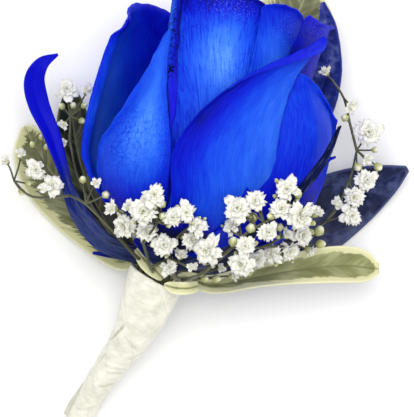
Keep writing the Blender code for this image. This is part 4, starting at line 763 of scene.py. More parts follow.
def leafMaterial(look):
    made, tree, shader = startMaterial(look["name"], {
        "IOR": 1.45, "Specular IOR Level": 0.25, "Coat Weight": look["coat"], "Coat Roughness": 0.3})
    edge, along, aside = (addNode(tree, "ShaderNodeAttribute", {"attribute_name": n}).outputs["Fac"]
                          for n in ("edge", "along", "aside"))
    out = addNode(tree, "ShaderNodeMath", {"operation": "ABSOLUTE"}, {0: aside})
    feather = addNode(tree, "ShaderNodeMath", {"operation": "MULTIPLY_ADD"}, {
        0: out.outputs[0], 1: -leafBuild["veinSlope"] * look["veins"], 2: along})
    streak = addNode(tree, "ShaderNodeCombineXYZ", None, {"X": feather.outputs[0], "Y": aside})
    long = addNode(tree, "ShaderNodeMapping", None, {"Vector": streak.outputs[0], "Scale": (*look["grain"], 1)})
    brush = addNode(tree, "ShaderNodeTexNoise", None, {
        "Vector": long.outputs["Vector"], "Scale": 1.0, "Detail": 4.0, "Roughness": 0.65})
    wide = addNode(tree, "ShaderNodeMapping", None, {"Vector": streak.outputs[0], "Scale": (0.16, 0.2, 1)})
    patch = addNode(tree, "ShaderNodeTexNoise", None, {
        "Vector": wide.outputs["Vector"], "Scale": 1.0, "Detail": 2.0})
    both = addNode(tree, "ShaderNodeMath", {"operation": "MULTIPLY_ADD"}, {
        0: brush.outputs["Fac"], 1: 0.7, 2: patch.outputs["Fac"]})
    middle = addNode(tree, "ShaderNodeValToRGB", None, {"Fac": both.outputs[0]})
    setRamp(middle, list(zip((0.68, 0.86, 1.0), look["middle"])))
    ragged = addNode(tree, "ShaderNodeMath", {"operation": "SUBTRACT"}, {0: brush.outputs["Fac"], 1: 0.5})
    reach = addNode(tree, "ShaderNodeMath", {"operation": "MULTIPLY_ADD"}, {
        0: ragged.outputs[0], 1: look["ragged"] * 3, 2: edge})
    margin = addNode(tree, "ShaderNodeMapRange", {"interpolation_type": "SMOOTHSTEP"}, {
        "Value": reach.outputs[0], "From Min": look["reach"] - 0.3, "From Max": look["reach"] + 0.3,
        "To Min": 1.0, "To Max": 0.0})
    edged = addNode(tree, "ShaderNodeMixRGB", None, {
        "Fac": margin.outputs[0], "Color1": middle.outputs["Color"], "Color2": linear(look["margin"])})
    ribbed = addNode(tree, "ShaderNodeMapRange", {"interpolation_type": "SMOOTHSTEP"}, {
        "Value": out.outputs[0], "From Min": 0.12, "From Max": 0.42, "To Min": 0.7, "To Max": 0.0})
    veined = addNode(tree, "ShaderNodeMixRGB", None, {
        "Fac": ribbed.outputs[0], "Color1": edged.outputs["Color"], "Color2": linear(look["rib"])})
    rim = addNode(tree, "ShaderNodeMapRange", {"interpolation_type": "SMOOTHSTEP"}, {
        "Value": edge, "From Min": 0.15, "From Max": 0.8, "To Min": 0.8, "To Max": 0.0})
    final = addNode(tree, "ShaderNodeMixRGB", None, {
        "Fac": rim.outputs[0], "Color1": veined.outputs["Color"], "Color2": linear(look["rim"])})
    tree.links.new(final.outputs["Color"], shader.inputs["Base Color"])
    place = addNode(tree, "ShaderNodeTexCoord")
    skin = addNode(tree, "ShaderNodeTexNoise", None, {
        "Vector": place.outputs["Object"], "Scale": 2200.0, "Detail": 3.0})
    rough = addNode(tree, "ShaderNodeMapRange", None, {
        "Value": brush.outputs["Fac"], "From Min": 0.35, "From Max": 0.65,
        "To Min": look["rough"][0], "To Max": look["rough"][1]})
    tree.links.new(rough.outputs[0], shader.inputs["Roughness"])
    height = addNode(tree, "ShaderNodeMath", {"operation": "MULTIPLY_ADD"}, {
        0: skin.outputs["Fac"], 1: 0.6, 2: brush.outputs["Fac"]})
    bump = addNode(tree, "ShaderNodeBump", None, {"Strength": 0.45, "Distance": 0.0001, "Height": height.outputs[0]})
    tree.links.new(bump.outputs["Normal"], shader.inputs["Normal"])
    return made


def addBlade(name, leaf, across, along):
    leaf["length"] = spineLength(leaf)
    return addSheet(name, lambda s, t: leafPlace(leaf, s, t), across, along, leafBuild["thickness"],
                    lambda s, t: leafPaint(leaf, s, t))


# Two scraps of the folded leaf: over the tape's mouth and beside the hip.
leafLobes = [
    {"spine": [(-5.2, -35.0, 27.4), (-7.6, -35.5, 29.4), (-10.6, -35.4, 30.0), (-13.4, -34.7, 29.2)],
     "half": [(0, 1.2), (0.3, 1.5), (0.7, 1.5), (0.9, 1.0), (1, 0.4)],
     "turn": level, "fold": 6, "wave": 0.1, "waves": 1, "phase": 0.4, "kind": "folded"},
    {"spine": [(-20.2, -26.2, 26.4), (-18.2, -28.6, 28.6), (-15.9, -30.8, 29.4), (-13.6, -33.2, 27.2)],
     "half": [(0, 0.5), (0.25, 1.6), (0.6, 2.0), (0.9, 1.4), (1, 0.8)],
     "turn": level, "fold": 8, "wave": 0.1, "waves": 1, "phase": 0.2, "kind": "folded"},
]
leafSkins = {kind: leafMaterial(look) for kind, look in leafLooks.items()}
leafSlots = {"variegated": "variegated_leaf", "folded": "variegated_leaf", "dyed": "dyed_leaf",
             "bright": "dyed_leaf", "dark": "dark_leaf"}
for name, leaf in leaves.items():
    blades = [addBlade(name, leaf, leafBuild["across"], leafBuild["along"])]
    if name == "leaf_low_right":
        blades += [addBlade("lobe", lobe, 14, 24) for lobe in leafLobes]
    finishPiece(joined(name + "_blade", blades, [leafSkins[leaf["kind"]]]), leafSlots[leaf["kind"]], name)
print("stage: leaves")


# Stem, hip and sepals: the sepals took the dye, bright where they are thin and dull navy along their fibres.
def onBloom(*places):
    return [inBloom(*place) for place in places]


sepals = {
    "long": {
        "spine": [(-12.4, -28.6, 23.6), (-16.6, -28.4, 24.1), (-22.4, -27.0, 24.7), (-28.6, -24.2, 25.2),
                  (-33.2, -18.8, 25.6), (-36.3, -12.5, 25), (-38.2, -5.9, 24.4), (-40.8, 1.8, 24.6),
                  (-43.7, 8.5, 25.4), (-44.6, 14.2, 27), (-42.6, 18.2, 28.4), (-38.9, 20.6, 27.4)],
        "half": [(0, 1.8), (0.14, 2.1), (0.3, 2.6), (0.42, 2.0), (0.5, 1.3), (0.62, 2.1), (0.78, 2.7), (0.9, 1.8), (1, 0.3)],
        "turn": [(0, -8), (0.5, -22), (0.8, -12), (1, 10)], "fold": 16, "wave": 0.3, "waves": 3, "phase": 0,
        "vivid": [(0, -0.05), (0.3, 0.15), (0.5, 0.3), (0.62, 0.75), (1, 0.95)]},
    "front_strip": {
        "spine": onBloom((-22, 2.6, -3.2), (-24, 6.5, -2.6), (-28, 12, -0.8), (-31, 17, 1.8)),
        "half": [(0, 1.6), (0.4, 1.7), (0.8, 1.1), (1, 0.6)],
        "turn": [(0, -10), (1, -28)], "fold": 10, "wave": 0.2, "waves": 1, "phase": 0, "vivid": [(0, 0.0), (1, 0.35)]},
    "low_left": {
        "spine": [(-13.2, -28.4, 23.6), (-17.0, -28.4, 23.6), (-21.8, -28.0, 23.5), (-26.4, -27.6, 22.6),
                  (-30.8, -27.2, 22)],
        "half": [(0, 1.5), (0.4, 1.3), (0.75, 0.8), (1, 0.3)],
        "turn": level, "fold": 10, "wave": 0.2, "waves": 1, "phase": 0, "vivid": [(0, -0.05), (0.6, 0.1), (1, 0.4)]},
    "right": {
        "spine": onBloom((20, 2.6, -3.2), (24, 7, -2.8), (29, 14, -0.6), (34, 22, 3.4), (40, 30, 11), (50, 34.2, 20.6),
                         (62, 35, 29.6), (72, 34.6, 37.6)),
        "half": [(0, 1.6), (0.2, 1.2), (0.5, 1.2), (0.75, 1.6), (0.9, 1.2), (1, 0.5)],
        "turn": [(0, 0), (0.4, 20), (0.7, 50), (1, 66)], "fold": 14, "wave": 0.2, "waves": 2, "phase": 0,
        "vivid": [(0, 0.1), (0.6, 0.02), (1, 0.0)]},
}
stemBuild = {"radius": 2.1, "hip": [(-6.4, 0), (-5.6, 2.5), (-3.6, 3.6), (-1.9, 4.1), (-0.9, 3.4), (-0.6, 0)],
             "inside": (1, 0.86, 0.72, 0.58, 0.44, 0.3, 0.16, 0.04),
             "sizes": (0.62, 0.68, 0.75, 0.82, 0.9, 0.95, 1, 1, 1, 1.15)}


def addTube(name, runs, sides):  # runs of (points, radii) in mm made one mesh of closed tubes
    bpy.ops.object.select_all(action="DESELECT")
    bpy.ops.curve.primitive_nurbs_path_add()
    line = bpy.context.object
    line.name = name
    curve = line.data
    curve.splines.clear()
    curve.bevel_depth = mm
    curve.bevel_resolution = sides
    curve.use_fill_caps = True
    for points, radii in runs:
        spline = curve.splines.new("POLY")
        spline.points.add(len(points) - 1)
        for spot, point, radius in zip(spline.points, points, radii):
            spot.co = (*(Vector(point) * mm), 1)
            spot.radius = radius
    bpy.ops.object.convert(target="MESH")
    bpy.ops.object.mode_set(mode="EDIT")
    bpy.ops.mesh.select_all(action="SELECT")
    bpy.ops.mesh.remove_doubles(threshold=0.000002)
    bpy.ops.mesh.normals_make_consistent(inside=False)
    bpy.ops.object.mode_set(mode="OBJECT")
    bpy.ops.object.shade_smooth_by_angle(angle=math.radians(60))
    return bpy.context.object


def addTurned(name, profile, sides, rings, lobes=0, lobeDepth=0.0, values=None):
    # a ball shaped ring by ring to a profile of (height, radius), along +Z, in its own units
    bpy.ops.object.select_all(action="DESELECT")
    bpy.ops.mesh.primitive_uv_sphere_add(segments=sides, ring_count=rings, radius=1)
    ball = bpy.context.object
    ball.name = name
    rises = []
    last = len(profile) - 1
    heights = [(i / last, h) for i, (h, r) in enumerate(profile)]
    radii = [(i / last, r) for i, (h, r) in enumerate(profile)]
    for corner in ball.data.vertices:
        rise = 1 - math.acos(max(-1, min(1, corner.co.z))) / math.pi
        angle = math.atan2(corner.co.y, corner.co.x)
        radius = max(smoothTable(radii, rise), 0) * (1 + lobeDepth * math.cos(lobes * angle))
        if rise < 0.001 or rise > 0.999:
            radius = 0
        corner.co = (math.cos(angle) * radius, math.sin(angle) * radius, smoothTable(heights, rise))
        rises.append(rise)
    ball.data.attributes.new("rise", "FLOAT", "POINT").data.foreach_set("value", rises)
    for layer, value in (values or {}).items():
        ball.data.attributes.new(layer, "FLOAT", "POINT").data.foreach_set("value", [value] * len(rises))
    bpy.ops.object.shade_smooth()
    return ball


def sepalMaterial(colours):
    made, tree, shader = startMaterial("dyedSepal", {
        "IOR": 1.44, "Specular IOR Level": 0.12})
    vivid, along, aside = (addNode(tree, "ShaderNodeAttribute", {"attribute_name": n}).outputs["Fac"]
                           for n in ("vivid", "along", "aside"))
    run = addNode(tree, "ShaderNodeCombineXYZ", None, {"X": aside, "Y": along})
    fibre = addNode(tree, "ShaderNodeMapping", None, {"Vector": run.outputs[0], "Scale": (2.6, 0.22, 1)})
    hairs = addNode(tree, "ShaderNodeTexNoise", None, {
        "Vector": fibre.outputs["Vector"], "Scale": 1.0, "Detail": 4.0, "Roughness": 0.7, "Distortion": 0.4})
    mixed = addNode(tree, "ShaderNodeMath", {"operation": "MULTIPLY_ADD"}, {
        0: hairs.outputs["Fac"], 1: 0.75, 2: vivid})
    ramp = addNode(tree, "ShaderNodeValToRGB", None, {"Fac": mixed.outputs[0]})
    setRamp(ramp, colours)
    tree.links.new(ramp.outputs["Color"], shader.inputs["Base Color"])
    rough = addNode(tree, "ShaderNodeMapRange", None, {
        "Value": hairs.outputs["Fac"], "From Min": 0.3, "From Max": 0.7, "To Min": 0.4, "To Max": 0.65})
    tree.links.new(rough.outputs[0], shader.inputs["Roughness"])
    bump = addNode(tree, "ShaderNodeBump", None, {"Strength": 0.6, "Distance": 0.00012, "Height": hairs.outputs["Fac"]})
    tree.links.new(bump.outputs["Normal"], shader.inputs["Normal"])
    return made


def greenMaterial(name, stops):  # living stalk and bud: pale green skin that yellows towards its tip
    made, tree, shader = startMaterial(name, {"IOR": 1.44, "Sheen Weight": 0.1, "Coat Weight": 0.05})
    rise = addNode(tree, "ShaderNodeAttribute", {"attribute_name": "rise"})
    place = addNode(tree, "ShaderNodeTexCoord")
    skin = addNode(tree, "ShaderNodeTexNoise", None, {
        "Vector": place.outputs["Object"], "Scale": 900.0, "Detail": 3.0, "Roughness": 0.6})
    mixed = addNode(tree, "ShaderNodeMath", {"operation": "MULTIPLY_ADD"}, {
        0: skin.outputs["Fac"], 1: 0.4, 2: rise.outputs["Fac"]})
    ramp = addNode(tree, "ShaderNodeValToRGB", None, {"Fac": mixed.outputs[0]})
    setRamp(ramp, stops)
    tree.links.new(ramp.outputs["Color"], shader.inputs["Base Color"])
    rough = addNode(tree, "ShaderNodeMapRange", None, {
        "Value": skin.outputs["Fac"], "From Min": 0.3, "From Max": 0.7, "To Min": 0.4, "To Max": 0.6})
    tree.links.new(rough.outputs[0], shader.inputs["Roughness"])
    bump = addNode(tree, "ShaderNodeBump", None, {"Strength": 0.3, "Distance": 0.00008, "Height": skin.outputs["Fac"]})
    tree.links.new(bump.outputs["Normal"], shader.inputs["Normal"])
    return made


sepalSkin = sepalMaterial([(0.2, "05091c"), (0.38, "0c1436"), (0.52, "3d4a78"), (0.62, "0e1c6a"), (0.85, "0510a0"), (1.0, "0308bc")])
stemSkin = greenMaterial("roseStemSkin", [(0.0, "4d5030"), (0.3, "6e7058"), (0.6, "8c8f6b")])
blades = [addBlade("sepal_" + name, sepal, 10, 60) for name, sepal in sepals.items()]
hip = addTurned("hip", stemBuild["hip"], 40, 24, 5, 0.04, {"vivid": 0.1})
hip.data.transform(Matrix.Translation(bloomRoot * mm) @ Vector((0, 0, 1)).rotation_difference(bloomUp).to_matrix().to_4x4()
                   @ Matrix.Scale(mm, 4))
finishPiece(joined("sepals_and_hip", blades + [hip], [sepalSkin]), "sepal", "rose_stem")
stemPath = [smoothRow(tapePath, t) for t in stemBuild["inside"]] + [bloomRoot - bloomUp * 6.2, bloomRoot - bloomUp * 3.4]
fine = 48
stemRadii = [(i / 9, stemBuild["radius"] * size) for i, size in enumerate(stemBuild["sizes"])]
stem = addTube("stem", [([smoothRow(stemPath, i / fine) for i in range(fine + 1)],
                         [smoothTable(stemRadii, i / fine) for i in range(fine + 1)])], 5)
finishPiece(joined("rose_stalk", [stem], [stemSkin]), "sepal", "rose_stem")
print("stage: stem and sepals")


# Baby's breath, the double kind: each floret a ruffle of notched white petals in a green cup.
sprayBuild = {"seed": 11, "gap": 0.5, "packedStem": 0.42, "packedPedicel": 0.33, "stem": 0.44, "pedicel": 0.23, "stalkStep": 3.3, "freeStalk": 8.0, "pedicelStep": 4.0,
              "lean": {"open": 0.5, "half": 1.3, "bud": 1.8}}
floretBuild = {
    # whorls: petals, length, half width, rise in degrees from flat, foot height, curl back at the tip
    "open": [(6, 1.14, 0.4, 6, -0.12, 0.24), (6, 1.0, 0.38, 27, -0.02, 0.28), (6, 0.82, 0.32, 48, 0.04, 0.26),
             (5, 0.6, 0.24, 68, 0.08, 0.2), (3, 0.4, 0.18, 84, 0.1, 0.1)],
    "half": [(5, 1.2, 0.4, 52, -0.3, 0.34), (5, 1.1, 0.34, 68, -0.25, 0.24), (4, 0.95, 0.26, 80, -0.2, 0.14)],
    "thickness": 0.035, "yaw": 24, "rise": 15, "size": 0.24, "variants": 5,
}
calyxProfile = {"open": [(-0.62, 0), (-0.55, 0.2), (-0.3, 0.3), (-0.02, 0.34), (0.02, 0.2), (0.0, 0)],
                "half": [(-0.9, 0), (-0.8, 0.3), (-0.4, 0.5), (0.0, 0.52), (0.16, 0.42), (0.1, 0)],
                "bud": [(-1.1, 0), (-0.85, 0.5), (-0.2, 0.86), (0.5, 0.74), (1.0, 0.34), (1.15, 0)]}
sprays = {
    "gypsophila_middle_left": {
        "slot": (-1.2, 4.6), "onBloom": True,
        "stems": [[(-16.6, -30.4, 25), (-18.1, -24.7, 31), (-20.8, -19.6, 36)],
                  [(-18.1, -24.7, 31), (-14.6, -19.6, 40)],
                  [(-16.6, -30.4, 25), (-12.4, -28.0, 31), (-9.9, -22.9, 38)],
                  [(-12.4, -28.0, 31), (-7.2, -30.4, 31)]],
        "florets": [
            ("half", -25.3, -16.3, 34, 1.9), ("bud", -23.4, -17.7, 33, 1.0), ("half", -21.3, -16.1, 34, 1.6),
            ("open", -22.7, -20.6, 34, 2.5), ("open", -17.8, -17.2, 40, 3.1), ("open", -15.3, -13.3, 40, 2.4),
            ("bud", -13.5, -15.4, 40, 1.1), ("open", -17.4, -21.9, 36, 2.2), ("bud", -13.3, -18.2, 40, 1.1),
            ("open", -11.0, -18.6, 40, 2.0), ("open", -7.9, -17.4, 40, 2.2), ("open", -5.3, -20.6, 40, 2.0),
            ("open", -6.8, -23.9, 38, 2.0), ("open", -13.2, -25.1, 35, 2.4), ("half", -9.4, -27.5, 35, 1.7),
            ("open", -12.1, -30.3, 32, 1.9), ("half", -6.6, -30.3, 33, 1.2)]},
    "gypsophila_middle_right": {
        "slot": (3.4, 3.3), "onBloom": True,
        "stems": [[(-9.0, -33.6, 27.0), (-4.6, -31.8, 29), (-0.6, -28.4, 31), (2.8, -25.4, 34), (6.2, -22.0, 40), (9.8, -19.9, 40),
                   (16.3, -16.6, 40)],
                  [(2.8, -25.4, 34), (9.9, -25.4, 34), (17.0, -21.6, 36)],
                  [(9.9, -25.4, 34), (19.1, -25.4, 29)]],
        "florets": [
            ("open", 15.3, -12.2, 44, 2.6), ("bud", 17.9, -13.3, 44, 1.0), ("open", 8.1, -14.7, 44, 2.2),
            ("open", 3.9, -16.4, 44, 2.7), ("bud", 7.6, -18.6, 44, 1.2), ("bud", 7.0, -21.0, 44, 1.3),
            ("open", 2.6, -20.6, 42, 2.0), ("bud", 3.0, -24.2, 40, 1.3), ("open", 5.6, -25.1, 38, 2.0),
            ("open", 14.0, -16.6, 42, 2.3), ("bud", 11.6, -18.2, 42, 1.0), ("open", 18.4, -18.3, 40, 3.0),
            ("open", 19.2, -22.7, 36, 2.4), ("half", 22.6, -17.4, 36, 1.8), ("bud", 23.6, -21.8, 30, 1.4),
            ("bud", 24.1, -25.0, 27, 1.2), ("half", 21.6, -26.6, 27, 1.7), ("bud", 13.8, -20.8, 40, 1.1),
            ("open", 11.0, -21.8, 40, 2.0), ("half", 15.6, -22.6, 38, 1.6), ("open", 16.4, -26.5, 34, 2.2),
            ("open", 12.2, -27.3, 34, 2.1), ("open", 4.8, -29.3, 34, 2.7), ("open", 8.9, -28.4, 34, 1.9),
            ("bud", 7.2, -31.2, 31, 1.1), ("half", 3.2, -32.5, 31, 1.5), ("open", -2.9, -26.2, 36, 3.1),
            ("bud", -3.7, -33.2, 31, 1.0), ("bud", -0.9, -33.2, 31, 1.1), ("half", 0.2, -30.6, 33, 1.2)]},
    "gypsophila_left": {
        "slot": (-4.2, 3.0), "onBloom": False,
        "stems": [[(-20.4, -27.6, 29.6), (-25.9, -21.5, 31.5), (-32.0, -15.4, 30.5), (-35.9, -13.4, 29)],
                  [(-35.9, -13.4, 29), (-45.4, -13.6, 21), (-50.1, -9.7, 18.5)],
                  [(-39.6, -13.8, 26), (-42.1, -6.2, 22)]],
        "florets": [
            ("open", -44.4, -7.2, 22, 2.3), ("open", -40.2, -10.9, 28, 2.4), ("half", -48.4, -3.2, 19, 1.5),
            ("half", -52.1, -4.9, 19, 1.5), ("bud", -45.4, -1.0, 21, 0.8), ("bud", -43.2, 0.8, 22, 0.8),
            ("bud", -42.0, -1.6, 22, 0.8), ("bud", -48.3, -12.4, 18, 0.9), ("bud", -46.6, -10.4, 19, 0.8),
            ("bud", -32.6, -9.6, 33, 1.0), ("half", -29.4, -10.4, 35.5, 1.3), ("bud", -27.0, -13.2, 37, 1.1)]},
    "gypsophila_top_left": {
        "slot": (-4.8, -1.1), "onBloom": False,
        "stems": [[(-22.4, -26.8, 20.2), (-28.6, -19.7, 16.8), (-34.4, -9.4, 16.4), (-36.6, 0.2, 17)],
                  [(-36.6, 0.2, 17), (-36.4, 6.0, 18)]],
        "florets": [
            ("open", -37.2, 12.4, 20, 2.4), ("half", -32.2, 12.2, 20, 1.6), ("bud", -35.6, 8.6, 20, 0.9),
            ("bud", -33.0, 8.6, 19, 0.9), ("bud", -38.4, 8.4, 19, 0.9), ("bud", -33.6, 4.9, 18.6, 0.9),
            ("half", -38.0, 4.1, 19, 1.2), ("half", -38.0, -0.4, 18.4, 1.1)]},
    "gypsophila_right": {
        "slot": (4.4, -0.7), "onBloom": False,
        "stems": [[(-5.4, -32.2, 17.2), (10.3, -27.6, 14.6), (25.8, -19.7, 15), (31.6, -9.5, 16), (33.4, -2.2, 17)],
                  [(33.4, -2.2, 17), (31.8, 4.4, 16), (30.4, 10.6, 14.6), (27.6, 15.0, 14.2)]],
        "florets": [
            ("half", 26.0, 17.0, 14.6, 1.5), ("half", 32.2, 8.4, 18, 1.7), ("bud", 30.4, 5.6, 19, 1.1), ("open", 36.2, 2.0, 20, 2.8),
            ("bud", 37.6, -2.2, 20, 0.9), ("half", 35.6, -4.6, 20, 1.5), ("bud", 33.4, -6.4, 21.4, 1.2),
            ("bud", 38.4, -6.3, 20, 1.2), ("open", 35.6, -9.6, 21, 2.3), ("open", 32.4, -13.6, 21, 2.4),
            ("open", 32.0, -18.2, 20, 2.4), ("half", 28.6, -15.4, 19, 1.5)]},
}


def addFloretPetal(length, half, rise, foot, curl, draw):  # notched, cupped, its tip curled back
    bpy.ops.object.select_all(action="DESELECT")
    bpy.ops.mesh.primitive_grid_add(x_subdivisions=4, y_subdivisions=4, size=2)
    petal = bpy.context.object
    teeth = {-1.0: 0.74, -0.5: 1.02, 0.0: 0.84, 0.5: 1.0, 1.0: 0.7}
    lean = math.radians(rise)
    twist = draw.uniform(-0.3, 0.3)
    rises = []
    for corner in petal.data.vertices:
        u, v = round(corner.co.x, 3), (corner.co.y + 1) / 2
        tooth = 1 + (teeth[u] - 1 + draw.uniform(-0.12, 0.12)) * v ** 3
        out = length * v * tooth
        wide = half * (0.25 + 0.75 * math.sin(v * 1.9) ** 0.8 if v > 0 else 0.25)
        lift = 0.14 * u * u * v - curl * v ** 3 + 0.1 * math.sin(u * 4.4 + twist * 20) * v * v
        across = u * wide + twist * 0.2 * v * v
        corner.co = (across, 0.06 + out * math.cos(lean) - lift * math.sin(lean),
                     foot + out * math.sin(lean) + lift * math.cos(lean))
        rises.append(v * min(1, length))
    petal.data.attributes.new("rise", "FLOAT", "POINT").data.foreach_set("value", rises)
    return petal


def addFloret(kind, number):
    draw = random.Random(sprayBuild["seed"] * 100 + number)
    petals = []
    for whorl, (count, length, half, rise, foot, curl) in enumerate(floretBuild[kind]):
        for i in range(count):
            size = 1 + draw.uniform(-1, 1) * floretBuild["size"]
            petal = addFloretPetal(length * size, half * size, rise + draw.uniform(-1, 1) * floretBuild["rise"],
                                   foot, curl, draw)
            yaw = math.tau * (i + whorl * 0.5) / count + math.radians(draw.uniform(-1, 1) * floretBuild["yaw"])
            petal.data.transform(Matrix.Rotation(yaw, 4, "Z"))
            petals.append(petal)
    ruffle = joined(kind, petals, [floretSkin])
    wall = ruffle.modifiers.new("Thickness", "SOLIDIFY")
    wall.thickness = floretBuild["thickness"]
    wall.offset = 0
    applyAll(ruffle)
    bpy.ops.object.shade_smooth()
    return ruffle


def addCup(kind):
    cup = addTurned("cup", calyxProfile[kind], 15, 9, 5, 0.1)
    cup.data.materials.append(budSkin)
    return cup


def treeOf(thing):
    mesh = thing.data
    return BVHTree.FromPolygons([v.co for v in mesh.vertices], [p.vertices for p in mesh.polygons])


def heightUnder(trees, x, y, reach):  # the highest point of the given nodes below a disc, or None
    found = []
    for step in range(17):
        away = reach * (0, 0.5, 1)[(step + 7) // 8]
        turn = step * math.tau / 8
        eye = Vector((x + away * math.cos(turn), y + away * math.sin(turn), 90)) * mm
        for tree in trees:
            hit = tree.ray_cast(eye, Vector((0, 0, -1)))[0]
            if hit:
                found.append(hit.z / mm)
    return max(found) if found else None


def lifted(point, trees, radius, step):
    under = heightUnder(trees, point.x, point.y, radius + step)
    if under is not None:
        point.z = max(point.z, under + radius + sprayBuild["gap"])
    return point


def copyOf(model, matrix):
    made = model.copy()
    made.data = model.data.copy()
    made.data.transform(matrix)
    bpy.context.scene.collection.objects.link(made)
    return made


def addSpray(name, spray, bloomTree, trees):
    build = sprayBuild
    draw = random.Random(build["seed"] + len(spray["florets"]))
    onBloom = spray["onBloom"]
    around = [bloomTree] + trees if onBloom else []
    mouth = [mouthSlot(*spray["slot"], 6), mouthSlot(*spray["slot"], -2.6)]
    runs = []
    joints = []
    things = []

    def addRun(points, foot, tip):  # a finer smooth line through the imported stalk's points
        count = 4 * (len(points) - 1)
        runs.append(([smoothRow(points, i / count) for i in range(count + 1)],
                     [foot + (tip - foot) * i / count for i in range(count + 1)]))

    for number, stem in enumerate(spray["stems"]):
        route = [Vector(p) for p in stem]
        if onBloom:
            route = [lifted(p, around, build["packedStem"], 1.5) for p in route]
        if number == 0:
            route = mouth + route
        joints += route[2 if number == 0 else 0:]
        if onBloom:
            length = sum((b - a).length for a, b in zip(route, route[1:]))
            count = round(length / build["stalkStep"])
            path = [smoothRow(route, i / count) for i in range(count + 1)]
            path = [p if i * build["stalkStep"] < build["freeStalk"] and number == 0
                    else lifted(p, around, build["packedStem"], 1.5)
                    for i, p in enumerate(path)]
            joints += path[4:] if number == 0 else path
        else:
            path = route
        addRun(path, build["stem"] * (1.35 if number == 0 else 0.8), build["stem"] * 0.6)
    for number, (kind, x, y, z, size) in enumerate(spray["florets"]):
        if onBloom:
            reach = size * 1.35
            under = heightUnder([bloomTree], x, y, reach)
            z = under + size * 0.8 + build["gap"] if under is not None else z
            under = heightUnder(trees, x, y, reach)
            z = max(z, under + size * 0.8 + build["gap"]) if under is not None else z
        centre = Vector((x, y, z))
        joint = min(joints, key=lambda j: (j - centre).length + (3 if j.z > z else 0))
        outward = (centre - joint).normalized()
        wander = Vector((draw.uniform(-1, 1), draw.uniform(-1, 1), draw.uniform(-0.2, 1))) * 0.3
        axis = (Vector((0, 0, 1)) + outward * build["lean"][kind] + wander).normalized()
        spin = draw.uniform(0, math.tau)
        foot = centre - axis * size * 0.4
        bend = centre - axis * ((centre - joint).length * 0.4 + size * 0.4)
        route = [joint, joint * 0.3 + bend * 0.45 + centre * 0.25, foot]
        if onBloom:
            count = max(2, round((centre - joint).length / build["pedicelStep"]))
            path = [joint] + [lifted(smoothRow(route, i / count), around, build["packedPedicel"], 0.4)
                              for i in range(1, count)] + [foot]
        else:
            path = route
        addRun(path, build["pedicel"], build["pedicel"] * 0.85)
        turn = Vector((0, 0, 1)).rotation_difference(axis).to_matrix().to_4x4() @ Matrix.Rotation(spin, 4, "Z")
        lay = Matrix.Translation(centre * mm) @ turn @ Matrix.Scale(size * mm, 4)
        if kind in floretModels:
            models = floretModels[kind]
            things.append(copyOf(models[number % len(models)], lay))
        things.append(copyOf(cupModels[kind], lay))
        if onBloom and kind == "open":  # small unopened twigs fill the gaps round each floret
            for twig in range(2):
                angle = draw.uniform(0, math.tau)
                tip = centre + Vector((math.cos(angle), math.sin(angle), -0.5)) * size * draw.uniform(0.95, 1.3)
                tip = lifted(tip, around, build["packedPedicel"], 0.4)
                middle = joint * 0.5 + tip * 0.5 + Vector((0, 0, 0.6))
                addRun([joint, middle, tip], build["pedicel"], build["pedicel"] * 0.8)
                rise = (tip - middle).normalized()
                turn = Vector((0, 0, 1)).rotation_difference(rise).to_matrix().to_4x4()
                bud = Matrix.Translation(tip * mm) @ turn @ Matrix.Scale(draw.uniform(0.4, 0.7) * mm, 4)
                things.append(copyOf(cupModels["bud"], bud))
    stalks = addTube("stalks", runs, 1)
    stalks.data.materials.append(stalkSkin)
    stalks.data.attributes.new("rise", "FLOAT", "POINT").data.foreach_set(
        "value", [0.1 + 0.3 * noise.noise(v.co * 300) for v in stalks.data.vertices])
    return joined(name, [stalks] + things)


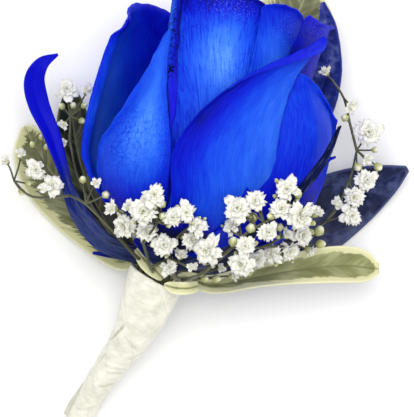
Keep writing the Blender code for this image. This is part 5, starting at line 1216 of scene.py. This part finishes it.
floretSkin = greenMaterial("gypsophilaPetal", [(0.0, "9a9e66"), (0.3, "c9caa6"), (0.6, "e3e2d3"), (1.0, "f0efe6")])
budSkin = greenMaterial("gypsophilaBud", [(0.0, "50552a"), (0.4, "8a8e50"), (0.8, "b9bb7c"), (1.0, "e6e6c8")])
stalkSkin = greenMaterial("gypsophilaStalk", [(0.0, "2c2d17"), (0.4, "55573a"), (0.8, "83855a")])
floretModels = {kind: [addFloret(kind, number + (10 if kind == "half" else 0)) for number in range(floretBuild["variants"])]
                for kind in ("open", "half")}
cupModels = {kind: addCup(kind) for kind in calyxProfile}
bloomTree = treeOf(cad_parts["rose_bloom"])
trees = [treeOf(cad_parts[n]) for n in ("rose_stem", "leaf_low_right")]
for name, spray in sprays.items():
    finishPiece(addSpray(name + "_florets", spray, bloomTree, trees), "gypsophila", name)
    trees.append(treeOf(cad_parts[name]))
for model in [m for models in floretModels.values() for m in models] + list(cupModels.values()):
    bpy.data.objects.remove(model, do_unlink=True)
print("stage: baby's breath")


# A pale table, a soft light from the upper left and a plain bright room.
def addStudio():
    bpy.ops.object.select_all(action="DESELECT")
    bpy.ops.mesh.primitive_plane_add(size=3, location=(0, 0, 0))
    table = bpy.context.object
    table.name = "table"
    made, tree, shader = startMaterial("paintedTable", {"Base Color": linear("ffffff"), "Roughness": 0.9})
    place = addNode(tree, "ShaderNodeTexCoord")
    grain = addNode(tree, "ShaderNodeTexNoise", None, {"Vector": place.outputs["Object"], "Scale": 400.0})
    bump = addNode(tree, "ShaderNodeBump", None, {"Strength": 0.05, "Distance": 0.0002, "Height": grain.outputs["Fac"]})
    tree.links.new(bump.outputs["Normal"], shader.inputs["Normal"])
    table.data.materials.append(made)
    lamps = [("key", (-0.04, 0.12, 0.86), 0.5, 4.5), ("fill", (0.3, 0.05, 0.72), 0.8, 1.3)]
    for name, place, size, power in lamps:
        bpy.ops.object.light_add(type="AREA", location=place)
        lamp = bpy.context.object
        lamp.name = name
        lamp.data.size = size
        lamp.data.energy = power
        lamp.rotation_euler = Vector(place).to_track_quat("Z", "Y").to_euler()
    world = bpy.data.worlds.new("room")
    bpy.context.scene.world = world
    world.use_nodes = True
    sky = world.node_tree.nodes["Background"]
    sky.inputs["Color"].default_value = (1, 1, 1, 1)
    sky.inputs["Strength"].default_value = 0.56


viewBuild = {"centre": (-3.12, -16.44), "height": 627, "depth": 600, "tall": 100.08}  # mm; straight down on the bloom


def addCamera():
    build = viewBuild
    bpy.ops.object.camera_add(location=(build["centre"][0] * mm, build["centre"][1] * mm, build["height"] * mm))
    camera = bpy.context.object
    camera.data.sensor_fit = "VERTICAL"
    camera.data.sensor_height = 36
    camera.data.lens = 36 * build["depth"] / build["tall"]
    camera.data.clip_start = 0.05
    bpy.context.scene.camera = camera
    bpy.context.scene.view_settings.view_transform = "Standard"  # keeps the dye's full blue


addStudio()
addCamera()
print("stage: table, lights and camera")
